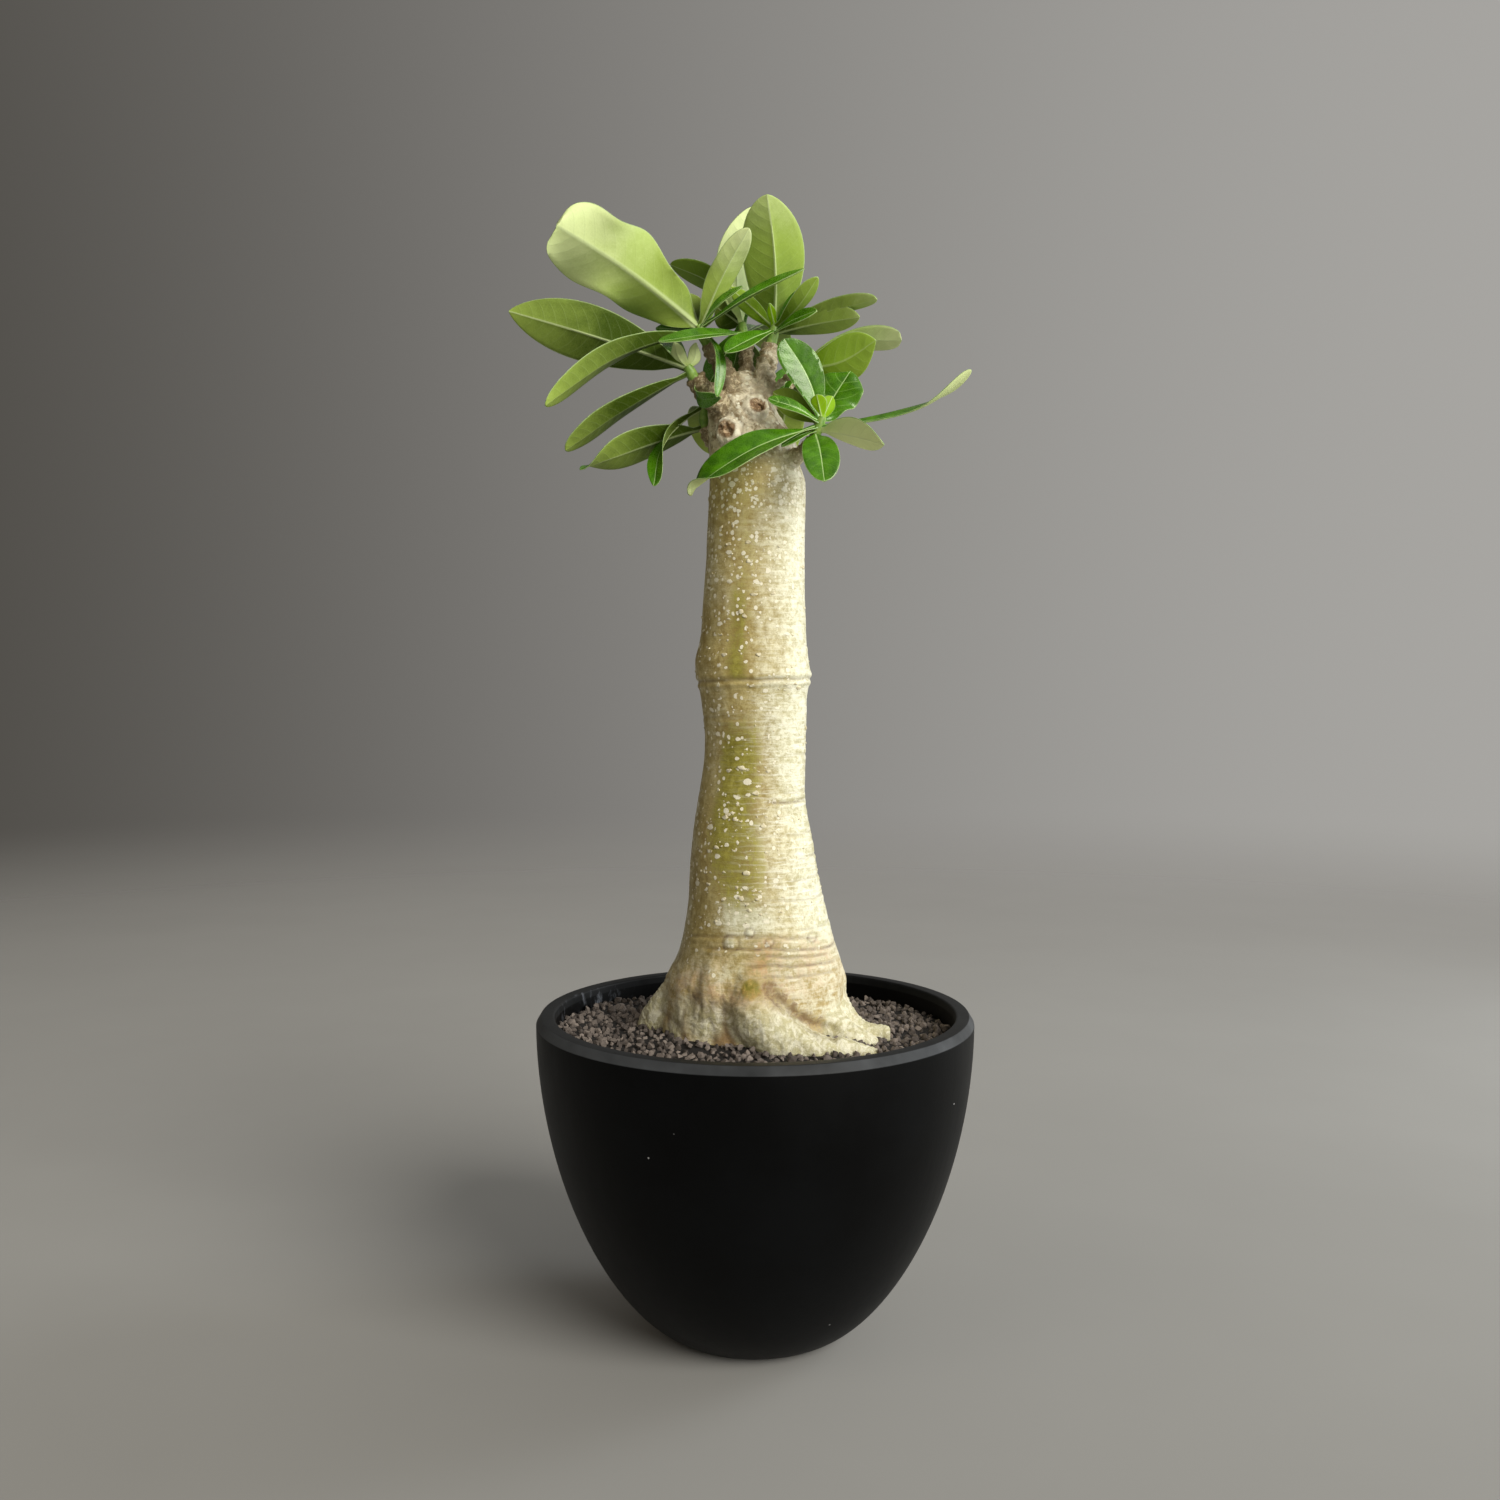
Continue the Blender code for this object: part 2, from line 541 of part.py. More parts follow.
def half_width(share, form, point):
    """Outline of a desert rose leaf as a share of its half width: narrow foot, blunt end."""
    widest = form / (form + point)
    peak = widest ** form * (1 - widest) ** point
    neck = min(1, share / NECK)
    return share ** form * (1 - share) ** point / peak * neck * (2 - neck)


def leaf_sheet(data, root, steps, halves):
    """The open middle surface of a leaf, split into triangles, with its rows closer at the tip."""
    tip = Vector(data["tip"])
    along = tip - root
    length = along.length
    along.normalize()
    face = Vector(data["faces"])
    face = (face - along * face.dot(along)).normalized()
    side = along.cross(face)
    bm = bmesh.new()
    rows = []
    for step in range(steps + 1):
        share = 1 - (1 - step / steps) ** TIP_CROWDING
        turn = Matrix.Rotation(math.radians(data["twist"]) * share ** data["late"], 3, along)
        across = turn @ side
        lift = turn @ face
        arch = math.sin(math.pi * share)
        middle = root + along * length * share + face * data["bow"] * arch + side * data["sway"] * arch
        middle -= face * data["nod"] * share ** 4
        outline = data["width"] / 2 * half_width(share, data["form"], data["point"])
        half = max(outline, PETIOLE_HALF * (1 - share) + TIP_HALF)
        fold = math.radians(data["fold"]) * (FOLD_FOOT * (1 - share) + FOLD_TIP * share)
        row = []
        for place in range(-halves, halves + 1):
            u = place / halves
            rise = abs(u) * math.sin(fold) - data["curl"] * u * u
            flat = u * math.cos(fold)
            row.append(bm.verts.new((middle + (across * flat + lift * rise) * half) * MM))
        rows.append(row)
    for lower, upper in zip(rows, rows[1:]):
        for place in range(2 * halves):
            bm.faces.new((lower[place], lower[place + 1], upper[place + 1], upper[place]))
    bmesh.ops.triangulate(bm, faces=bm.faces)
    return mesh_from(bm, "leaf")


def make_shoot(name, shoot, parts, helpers):
    """The green stem joined with its leaves."""
    stem = tube(name, shoot["stem"], parts, sides=STEM_SIDES)
    for data in shoot["leaves"]:
        root = point_below_top(shoot["stem"], data["low"])
        wide = data["width"] >= WIDE_LEAF
        sheet = leaf_sheet(data, root, 7 if wide else 5, 2 if wide else 1)
        blade = add_object("leaf", sheet, helpers)
        shell = blade.modifiers.new("thickness", "SOLIDIFY")
        shell.thickness = LEAF_THICKNESS
        shell.offset = 0
        baked(blade)
    return boolean(stem, helpers, "UNION")


def main():
    clear_scene()
    parts = new_collection("potted_desert_rose")
    helpers = new_collection("helpers")
    black_plastic = material("black plastic", (0.012, 0.013, 0.014), 0.42)
    gravel = material("gravel", (0.16, 0.125, 0.105), 0.95)
    bark = material("bark", (0.52, 0.46, 0.27), 0.6)
    foliage = material("foliage", (0.16, 0.3, 0.05), 0.4)

    pot = make_pot(parts, helpers)
    pot.data.materials.append(black_plastic)
    trunk = make_trunk(parts, helpers)
    trunk.data.materials.append(bark)
    soil = make_soil(parts, helpers, trunk)
    soil.data.materials.append(gravel)
    for name, shoot in SHOOTS.items():
        made = make_shoot(name, shoot, parts, helpers)
        made.data.materials.clear()
        made.data.materials.append(foliage)
    for obj in (pot, trunk):
        obj.data.shade_smooth()
        obj.data.set_sharp_from_angle(angle=math.radians(35))


main()
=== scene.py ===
import json
import math
import random

import bmesh
import bpy
import numpy as np
from mathutils import Matrix, Vector, noise
from mathutils.bvhtree import BVHTree

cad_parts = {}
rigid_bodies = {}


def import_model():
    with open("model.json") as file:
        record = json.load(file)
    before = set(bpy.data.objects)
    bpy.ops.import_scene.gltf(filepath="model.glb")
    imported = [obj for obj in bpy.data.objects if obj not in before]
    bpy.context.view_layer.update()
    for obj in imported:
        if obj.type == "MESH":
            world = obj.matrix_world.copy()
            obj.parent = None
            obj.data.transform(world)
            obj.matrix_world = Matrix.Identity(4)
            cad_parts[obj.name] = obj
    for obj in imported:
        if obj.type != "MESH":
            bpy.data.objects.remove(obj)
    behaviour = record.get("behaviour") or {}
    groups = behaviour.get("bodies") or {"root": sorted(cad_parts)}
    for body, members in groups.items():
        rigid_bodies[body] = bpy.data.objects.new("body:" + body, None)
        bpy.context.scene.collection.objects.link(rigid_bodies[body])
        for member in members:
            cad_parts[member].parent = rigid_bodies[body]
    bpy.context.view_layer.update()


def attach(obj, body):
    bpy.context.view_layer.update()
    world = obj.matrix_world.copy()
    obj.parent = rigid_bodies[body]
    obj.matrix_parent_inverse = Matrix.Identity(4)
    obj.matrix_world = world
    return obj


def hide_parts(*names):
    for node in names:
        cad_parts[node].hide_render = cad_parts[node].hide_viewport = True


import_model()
mm = 0.001
print("frame loaded")


# Small tools for meshes

def addObject(name, mesh):
    made = bpy.data.objects.new(name, mesh)
    bpy.context.scene.collection.objects.link(made)
    return made


def meshFrom(bm, name):
    mesh = bpy.data.meshes.new(name)
    bm.to_mesh(mesh)
    bm.free()
    return mesh


def finalMesh(obj):
    # a plain mesh of the object as its modifiers or its curve leave it
    bpy.context.view_layer.update()
    graph = bpy.context.evaluated_depsgraph_get()
    return bpy.data.meshes.new_from_object(obj.evaluated_get(graph))


def flattened(obj):
    mesh = finalMesh(obj)
    mesh.name = obj.name
    obj.modifiers.clear()
    obj.data = mesh
    return obj


def facedOut(mesh, merge=0.0):
    bm = bmesh.new()
    bm.from_mesh(mesh)
    if merge:
        bmesh.ops.remove_doubles(bm, verts=bm.verts, dist=merge)
    bmesh.ops.recalc_face_normals(bm, faces=bm.faces)
    bm.to_mesh(mesh)
    bm.free()


def shadeBy(mesh, degrees):
    mesh.shade_smooth()
    mesh.set_sharp_from_angle(angle=math.radians(degrees))


def numbersOf(items, name, width, kind=float):
    flat = np.zeros(len(items) * width, kind)
    items.foreach_get(name, flat)
    return flat.reshape(-1, width)


def pointsOf(mesh):
    return numbersOf(mesh.vertices, "co", 3) / mm


def setPoints(mesh, points):
    mesh.vertices.foreach_set("co", (points * mm).ravel())
    mesh.update()


def setFields(mesh, **fields):
    # each field is one number for each vertex, or three
    for name, parts in fields.items():
        values = np.stack(parts, axis=1) if isinstance(parts, tuple) else parts
        kind, part = ("FLOAT_VECTOR", "vector") if values.ndim == 2 else ("FLOAT", "value")
        field = mesh.attributes.new(name, kind, "POINT").data
        field.foreach_set(part, values.astype(np.float32).ravel())


def around(count):
    # the sideways and the forward share of each of the points round a circle
    return [(math.cos(2 * math.pi * side / count), math.sin(2 * math.pi * side / count))
            for side in range(count)]


def noiseAt(points, stretch, seed=0):
    # smooth noise from -1 to 1 at every point, stretch is in waves per mm along x, y and z
    shift = np.array((seed * 7.13, seed * 3.71, seed * 5.39))
    return np.array([noise.noise(Vector(p)) for p in points * np.array(stretch) + shift])


def ease(values, low, high):
    # 0 below low, 1 above high, smooth between
    share = np.clip((values - low) / (high - low), 0, 1)
    return share * share * (3 - 2 * share)


def band(values, low, high, late, end):
    # 1 from high to late, 0 below low and above end
    return ease(values, low, high) * (1 - ease(values, late, end))


def bell(values, middle, width):
    return np.exp(-((values - middle) / width) ** 2)


# Small tools for node trees: values are sockets or numbers, and a socket knows its tree

def treeOf(*values):
    return next(value.id_data for value in values if isinstance(value, bpy.types.NodeSocket))


def addNode(tree, kind, inputs=None, **settings):
    node = tree.nodes.new(kind)
    for name, value in settings.items():
        setattr(node, name, value)
    for name, value in (inputs or {}).items():
        if isinstance(value, bpy.types.NodeSocket):
            tree.links.new(value, node.inputs[name])
        else:
            node.inputs[name].default_value = value
    return node


def objectPlace(tree, stretch=(1, 1, 1)):
    place = addNode(tree, "ShaderNodeTexCoord").outputs["Object"]
    return addNode(tree, "ShaderNodeMapping", {"Vector": place, "Scale": stretch}).outputs[0]


def partsOf(value, kind="XYZ"):
    return addNode(value.id_data, "ShaderNodeSeparate" + kind, {0: value}).outputs


def fieldOf(tree, name, part="Fac"):
    return addNode(tree, "ShaderNodeAttribute", attribute_name=name).outputs[part]


def fieldParts(tree, name):
    return partsOf(fieldOf(tree, name, "Vector"))


def grain(place, scale, detail=3.0, rough=0.55, distort=0.0):
    settings = {"Vector": place, "Scale": scale, "Detail": detail, "Roughness": rough, "Distortion": distort}
    return addNode(place.id_data, "ShaderNodeTexNoise", settings).outputs[0]


def cells(place, scale, feature="F1"):
    settings = {"Vector": place, "Scale": scale}
    return addNode(place.id_data, "ShaderNodeTexVoronoi", settings, feature=feature).outputs


def sums(operation, first, second=0.0, third=0.0):
    tree = treeOf(first, second, third)
    return addNode(tree, "ShaderNodeMath", {0: first, 1: second, 2: third}, operation=operation).outputs[0]


def times(first, second):
    return sums("MULTIPLY", first, second)


def plus(first, second):
    return sums("ADD", first, second)


def scaled(value, factor, shift):
    return sums("MULTIPLY_ADD", value, factor, shift)


def vectorSum(operation, first, second=(0, 0, 0), factor=1.0):
    tree = treeOf(first, second, factor)
    node = addNode(tree, "ShaderNodeVectorMath", {0: first, 1: second, 3: factor}, operation=operation)
    return node.outputs["Value" if operation in ("LENGTH", "DISTANCE") else "Vector"]


def rise(value, low, high, top=1.0):
    # 0 at low, top at high; low may be the larger one
    return addNode(value.id_data, "ShaderNodeMapRange", {0: value, 1: low, 2: high, 3: 0.0, 4: top},
                   interpolation_type="SMOOTHSTEP").outputs[0]


def blend(amount, first, second, mode="MIX"):
    # colours are sockets or triples
    first, second = [(*colour, 1) if isinstance(colour, tuple) else colour for colour in (first, second)]
    return addNode(treeOf(amount, first, second), "ShaderNodeMix", {0: amount, 6: first, 7: second},
                   data_type="RGBA", blend_type=mode).outputs[2]


def coated(base, *coats):
    # amount and colour of each coat, one over another
    for amount, colour in coats:
        base = blend(amount, base, colour)
    return base


def bumped(*layers):
    # height, strength and distance of each layer of relief, one over another
    normal = None
    for height, strength, distance in layers:
        inputs = {"Height": height, "Strength": strength, "Distance": distance}
        if normal:
            inputs["Normal"] = normal
        normal = addNode(height.id_data, "ShaderNodeBump", inputs).outputs[0]
    return normal


def newMaterial(name, **sockets):
    made = bpy.data.materials.new(name)
    made.use_nodes = True
    for socket, value in sockets.items():
        made.node_tree.nodes["Principled BSDF"].inputs[socket.replace("_", " ")].default_value = value
    return made, made.node_tree


def wire(made, **sources):
    shader = made.node_tree.nodes["Principled BSDF"]
    for socket, source in sources.items():
        made.node_tree.links.new(source, shader.inputs[socket.replace("_", " ")])
    return made


def newShapeTree(name, **inputs):
    # a geometry tree with one geometry in, one out, named inputs and a material
    tree = bpy.data.node_groups.new(name, "GeometryNodeTree")
    for label, kind in ({"Geometry": "Geometry"} | inputs | {"Material": "Material"}).items():
        tree.interface.new_socket(name=label, in_out="INPUT", socket_type="NodeSocket" + kind)
    tree.interface.new_socket(name="Geometry", in_out="OUTPUT", socket_type="NodeSocketGeometry")
    return tree, tree.nodes.new("NodeGroupInput").outputs


def shape(tree, kind, inputs, **settings):
    # the first output of a geometry node
    return addNode(tree, "GeometryNode" + kind, inputs, **settings).outputs[0]


def closeShapeTree(tree, given, geometry):
    painted = shape(tree, "SetMaterial", {"Geometry": geometry, "Material": given["Material"]})
    tree.links.new(painted, tree.nodes.new("NodeGroupOutput").inputs[0])
    return tree


def runShapeTree(obj, tree, material, **values):
    # the tree's result becomes the object's plain mesh
    modifier = obj.modifiers.new(tree.name, "NODES")
    modifier.node_group = tree
    values["Material"] = material
    for item in tree.interface.items_tree:
        if item.in_out == "INPUT" and item.name in values:
            modifier[item.identifier] = values[item.name]
    return flattened(obj)


def randomly(tree, low, high, seed=0):
    triple = isinstance(low, tuple)
    first = 0 if triple else 2
    node = addNode(tree, "FunctionNodeRandomValue", {first: low, first + 1: high, "Seed": seed},
                   data_type="FLOAT_VECTOR" if triple else "FLOAT")
    return node.outputs[0 if triple else 1]


# Pieces that are scattered share their inputs and their way of finding places

scatterInputs = dict(Spacing="Float", Density="Float", Smallest="Float", Largest="Float", Seed="Int")


def scatterValues(settings):
    lengths = {name.title(): settings[name] * mm for name in ("spacing", "smallest", "largest")}
    return lengths | {"Density": settings["density"], "Seed": settings["seed"]}


def scatter(tree, given, chance=1.0):
    return addNode(tree, "GeometryNodeDistributePointsOnFaces",
                   {"Mesh": given["Geometry"], "Distance Min": given["Spacing"], "Seed": given["Seed"],
                    "Density Max": given["Density"], "Density Factor": chance},
                   distribute_method="POISSON").outputs


# Pot: one moulded half egg with a thick rim, turned from its profile

pot = dict(
    height=125, rim=85, base=30, sharpness=1.9, fullness=0.64, lipHeight=3.1, lipInset=1.9,
    rimTop=5.2, wall=7.6, floor=5, cove=3, rows=40, crowding=1.4, steps=192, drawRadius=100,
    lipRound=0.3, edgeRound=1.0, bevelRound=0.3, baseRound=0.9, holes=5, holeRadius=4, holeCircle=18,
    seam=0.05,
)


def potRadius(height):
    share = min(height / (pot["height"] - pot["lipHeight"]), 1)
    growth = (1 - (1 - share) ** pot["sharpness"]) ** pot["fullness"]
    return pot["base"] + (pot["rim"] - pot["base"]) * growth


def rounded(corners, steps=5):
    # a path through (across, up, radius) corners, each turned by a soft arc
    path = []
    for number, (across, up, radius) in enumerate(corners):
        here = Vector((across, up))
        if not radius:
            path.append(here)
            continue
        before = Vector(corners[number - 1][:2])
        after = Vector(corners[number + 1][:2])
        start = here + (before - here).normalized() * radius
        end = here + (after - here).normalized() * radius
        for step in range(steps + 1):
            t = step / steps
            path.append(start * (1 - t) ** 2 + here * 2 * t * (1 - t) + end * t ** 2)
    return path


def potProfile():
    top = pot["height"]
    wallTop = top - pot["lipHeight"]
    heights = [wallTop * (row / pot["rows"]) ** pot["crowding"] for row in range(1, pot["rows"])]
    lip = pot["rim"] - pot["lipInset"]
    corners = [(0, 0, 0), (pot["base"], 0, pot["baseRound"])]
    corners += [(potRadius(h), h, 0) for h in heights if h > pot["baseRound"]]
    corners += [(pot["rim"], wallTop, pot["bevelRound"]), (lip, top, pot["lipRound"])]
    corners += [(lip - pot["rimTop"], top, pot["edgeRound"])]
    inner = [h for h in reversed(heights) if pot["floor"] + pot["cove"] < h < wallTop - 1]
    corners += [(potRadius(h) - pot["wall"], h, 0) for h in inner]
    foot = potRadius(pot["floor"] + pot["cove"]) - pot["wall"] - 1
    return rounded(corners + [(foot, pot["floor"], pot["cove"]), (0, pot["floor"], 0)])


def turningTree():
    tree, given = newShapeTree("turnedPot", Steps="Int", Reach="Float")
    outline = shape(tree, "MeshToCurve", {0: given["Geometry"]})
    circle = shape(tree, "CurvePrimitiveCircle", {"Resolution": given["Steps"], "Radius": given["Reach"]})
    skin = shape(tree, "CurveToMesh", {0: circle, 1: outline})
    closed = shape(tree, "MergeByDistance", {"Geometry": skin, "Distance": pot["seam"] * mm})
    return closeShapeTree(tree, given, shape(tree, "RealizeInstances", {0: closed}))


def makePot(material):
    bm = bmesh.new()
    # the outline is drawn away from the circle it is turned along, upside down
    verts = [bm.verts.new(((p.x - pot["drawRadius"]) * mm, -p.y * mm, 0)) for p in potProfile()]
    for ends in zip(verts, verts[1:]):
        bm.edges.new(ends)
    made = addObject("pot_body", meshFrom(bm, "pot_body"))
    runShapeTree(made, turningTree(), material, Steps=pot["steps"], Reach=pot["drawRadius"] * mm)
    facedOut(made.data)
    bm = bmesh.new()
    radius = pot["holeRadius"] * mm
    for cosine, sine in around(pot["holes"]):
        place = Vector((cosine, sine, 0)) * pot["holeCircle"] * mm
        bmesh.ops.create_cone(bm, cap_ends=True, segments=40, radius1=radius, radius2=radius,
                              depth=4 * pot["floor"] * mm, matrix=Matrix.Translation(place))
    drill = addObject("drill", meshFrom(bm, "drill"))
    cut = made.modifiers.new("drain holes", "BOOLEAN")
    cut.operation = "DIFFERENCE"
    cut.object = drill
    flattened(made)
    bpy.data.objects.remove(drill)
    made.data.materials.clear()
    made.data.materials.append(material)
    shadeBy(made.data, 40)
    return made


# Trunk: swollen base, growth ring, knobby stubs and cut scars blended into one skin

trunk = dict(
    # height, sideways centre and half width of each section
    sections=(
        (100, -1, 34), (112, -1, 37.5), (120, -1, 37), (129, -0.5, 36), (138, 0.2, 35.2),
        (146, 1.2, 31.9), (151, 1.2, 30.3), (160, 0.9, 28), (168, 0.5, 26.4), (177, -0.3, 25.1),
        (184, -0.8, 24.4), (192, -1, 23.3), (200, -1.4, 21.9), (208, -1.3, 20.7), (216, -0.7, 20),
        (224, 0, 19.6), (232, 0.1, 19.5), (240, 0, 20), (247, -0.4, 20.5), (252, -0.4, 21.4),
        (255, -0.4, 22.4), (262, -1.3, 22), (270, -0.7, 20.5), (285, -0.4, 19.6), (300, 0.2, 19),
        (315, 0.6, 18.8), (331, 0.9, 18.5), (337, -0.5, 17.5), (347, -1.2, 16.5), (352, -3, 14.8),
        (356, -4.6, 13.4), (362, -5.3, 11.2), (368, -4.8, 8.8), (372, -4.5, 5),
    ),
    depth=0.95, sides=96, rowHeight=2, voxel=0.72, quickVoxel=1.3,
    ringHeight=254.2, ringDepth=0.6, scarRadius=3.4, scarRim=1.2,
    scars=(((-10.4, -12.8, 348), (-0.55, -1, 0.15)), ((0.6, -11.9, 357), (0.1, -1, 0.5))),
    patch=(-1.6, -35, 140.4),
    # level creases: height, lift towards the front, direction, reach and depth
    creases=(
        (208.4, 0, -42, 38, 0.6), (155.5, 3, -95, 70, 0.4), (151.5, 2.6, -70, 75, 0.55),
        (146.5, 1.6, -60, 45, 0.5), (143.2, 1, -55, 40, 0.35), (196, 0, -30, 30, 0.25),
        (187, 0, -15, 34, 0.3), (179, 0, -25, 36, 0.25), (171, 1, -40, 48, 0.25),
        (149.3, 2, -60, 34, 0.4), (161, 0, -20, 40, 0.25), (212, 0, -30, 30, 0.22),
        (226, 0, -20, 40, 0.16), (240, 0, -150, 60, 0.2), (268, 0, -20, 40, 0.15),
        (276, 0, 80, 60, 0.2), (236, 0, 95, 60, 0.25), (158, 0, 95, 70, 0.4), (200, 0, 120, 50, 0.25),
    ),
    # folds of the base: x, z along each, then depth, half width and brownness; the brownness also sets the
    # painted shade along the fold's line
    folds=(
        (((4, 141), (9, 135.5), (15.5, 130), (22, 126), (29, 123.5)), 1.5, 1.4, 0.7),
        (((-12.2, 134), (-12.2, 130), (-11.4, 126), (-9.5, 120)), 0.8, 1.6, 1.0),
        (((-23, 136), (-18.6, 131), (-15.5, 126), (-14.5, 121)), 0.35, 3, 0.75),
        (((-36.8, 126.9), (-31.6, 125.2), (-27.5, 121)), 0.5, 1.6, 0.5),
    ),
    # blisters of the base: x, z, radius and height
    blisters=((-9.4, 156, 2.5, 0.7), (-2.4, 159.9, 1.2, 0.6), (5, 156.4, 1, 0.3), (21.4, 157, 1.2, 0.35)),
    relaxRounds=4, footRounds=7,
)

# x, y, z and radius along each root and each stub
roots = {
    "front arm": ((-1, -18, 147, 9), (-1, -26, 139, 9), (0.5, -31, 129.5, 10.5), (8, -34, 121.5, 9.7),
                  (19, -35, 118.5, 8), (30, -34, 117, 6), (39, -33, 116, 4.2), (48, -31, 114, 2.4),
                  (53, -29, 110, 1.5)),
    "right root": ((12, 0, 140, 15), (26, -3, 127, 11), (36, -8, 119, 6.5), (45, -11, 117.5, 4.2),
                   (52, -12, 118, 3.9)),
    "root web": ((16, -8, 132, 12), (27, -15, 121.5, 8.5), (37, -19, 117, 6.3), (46, -21, 114.5, 4.5)),
    "front lobe": ((-11, -16, 150, 8), (-13, -21, 138, 11), (-14, -20.5, 126, 11), (-15, -18, 112, 10)),
    "left toe": ((-16, -2, 140, 13), (-29, -1, 127, 11), (-38.5, 1, 117.5, 9.5), (-43, 3, 108, 6)),
    "front toe": ((-14, -13, 140, 12), (-22, -15, 126, 9), (-27, -16, 116, 7), (-30, -17, 108, 4)),
    "back left root": ((-8, 20, 142, 12), (-16, 31, 126, 9.5), (-23, 39, 116, 6), (-28, 44, 110, 3.5)),
    "back right root": ((10, 18, 142, 12), (21, 29, 126, 9.5), (31, 36, 117, 6), (41, 42, 112, 3.2)),
}
stubs = {
    "left stub": ((-9, -4, 353, 5), (-14, -7, 358.5, 4.6), (-19, -10.5, 363, 4.2), (-23, -13, 367.5, 3.6)),
    "left twig": ((-6, -4, 360, 4.6), (-10, -6, 368, 3.7), (-14.5, -8, 375.5, 3), (-18, -8, 380.5, 2.7)),
    "middle stem": ((-4, -1, 360, 4), (-3.4, 0, 370, 3), (-3.4, 0, 377, 2.8), (-4, 0, 382.5, 2.6)),
    "pale stem": ((1, -4, 357, 5.5), (3, -5.5, 367, 4.3), (4.4, -6, 375, 4), (5.8, -5, 382, 3.2)),
    "thin twig": ((1, -5, 357, 2.4), (5, -7, 362, 1.7), (9, -8.5, 365.5, 1.4), (12.5, -8.5, 369, 1.5)),
    "right branch": ((9, -6, 333, 4), (14, -9.5, 337, 3.3), (18, -12.5, 340, 2.9), (21.5, -16, 344, 2.6)),
    "back branch": ((2, 4, 356, 4), (8, 9, 364, 3.2), (13, 12, 370, 2.7), (15.6, 12.9, 373.8, 2.4)),
    "side stub": ((-10, 4, 342, 4), (-15, 5, 345, 3.4), (-18.5, 5, 348.5, 2.8), (-19.8, 5, 352, 2.4)),
}


def limb(name, points, sides=10, finer=8):
    # a closed round limb through (x, y, z, radius) points
    data = bpy.data.curves.new(name, "CURVE")
    data.dimensions = "3D"
    data.bevel_depth = 1.0
    data.bevel_resolution = sides
    data.use_fill_caps = True
    data.resolution_u = finer
    spline = data.splines.new("NURBS")
    spline.points.add(len(points) - 1)
    for point, (x, y, z, radius) in zip(spline.points, points):
        point.co = (x * mm, y * mm, z * mm, 1)
        point.radius = radius * mm
    spline.order_u = 3
    spline.use_endpoint_u = True
    curve = addObject(name, data)
    mesh = finalMesh(curve)
    bpy.data.objects.remove(curve)
    facedOut(mesh, 0.01 * mm)
    return mesh


def sectionAt(height):
    # centre and half width at a height, smoothed through the sections
    table = np.array(trunk["sections"], float)
    near = height + np.array((-1.5, 0, 1.5))
    return [float(np.interp(near, table[:, 0], table[:, column]).mean()) for column in (1, 2)]


def trunkBody():
    bm = bmesh.new()
    low, high = trunk["sections"][0][0], trunk["sections"][-1][0]
    rows = int((high - low) / trunk["rowHeight"])
    rings = []
    for row in range(rows + 1):
        height = low + (high - low) * row / rows
        centre, half = sectionAt(height)
        deep = half * trunk["depth"]
        rings.append([bm.verts.new(Vector((centre + half * cosine, deep * sine, height)) * mm)
                      for cosine, sine in around(trunk["sides"])])
    for lower, upper in zip(rings, rings[1:]):
        for side in range(trunk["sides"]):
            after = (side + 1) % trunk["sides"]
            bm.faces.new((lower[side], lower[after], upper[after], upper[side]))
    bm.faces.new(reversed(rings[0]))
    bm.faces.new(rings[-1])
    return meshFrom(bm, "trunk body")


def scarRing(place, faces):
    bpy.ops.mesh.primitive_torus_add(
        major_radius=trunk["scarRadius"] * mm, minor_radius=trunk["scarRim"] * mm,
        major_segments=40, minor_segments=12)
    ring = bpy.context.active_object
    mesh = ring.data
    turn = Vector(faces).to_track_quat("Z", "Y").to_matrix().to_4x4()
    mesh.transform(Matrix.Translation(Vector(place) * mm) @ turn)
    bpy.data.objects.remove(ring)
    return mesh


def trunkSkin():
    meshes = [trunkBody()] + [limb(name, points) for name, points in (roots | stubs).items()]
    meshes += [scarRing(place, faces) for place, faces in trunk["scars"]]
    bm = bmesh.new()
    for mesh in meshes:
        bm.from_mesh(mesh)
    made = addObject("trunk_skin", meshFrom(bm, "trunk_skin"))
    skin = made.modifiers.new("one skin", "REMESH")
    skin.mode = "VOXEL"
    skin.voxel_size = trunk["voxel"] * mm
    return flattened(made)


def relaxed(points, edges, rounds, weight):
    # each point is drawn towards the middle of its neighbours
    degree = np.bincount(edges.ravel(), minlength=len(points))
    for _ in range(rounds):
        middle = np.zeros_like(points)
        for axis in range(3):
            middle[:, axis] = np.bincount(edges[:, 0], points[edges[:, 1], axis], len(points))
            middle[:, axis] += np.bincount(edges[:, 1], points[edges[:, 0], axis], len(points))
        points = points + (middle / degree[:, None] - points) * weight[:, None]
    return points


def alongLimb(points, path):
    # for every point: mm along the path, distance from its middle line and its radius there
    path = np.array(path, float)
    fine = np.linspace(0, len(path) - 1, 12 * len(path))
    spine = np.stack([np.interp(fine, range(len(path)), path[:, k]) for k in range(4)], axis=1)
    steps = np.linalg.norm(np.diff(spine[:, :3], axis=0), axis=1)
    travelled = np.concatenate(([0], np.cumsum(steps)))
    away = np.full(len(points), 1e9)
    place = np.zeros(len(points))
    radius = np.ones(len(points))
    for sample, mileage in zip(spine, travelled):
        distance = np.linalg.norm(points - sample[:3], axis=1)
        closer = distance < away
        away[closer] = distance[closer]
        place[closer] = mileage
        radius[closer] = sample[3]
    return place, away, radius


def angleFrom(points, degrees):
    # how far round the trunk each point is from a direction, in degrees
    centre = np.interp(points[:, 2], *np.array(trunk["sections"])[:, :2].T)
    angle = np.degrees(np.arctan2(points[:, 1], points[:, 0] - centre))
    return (angle - degrees + 180) % 360 - 180


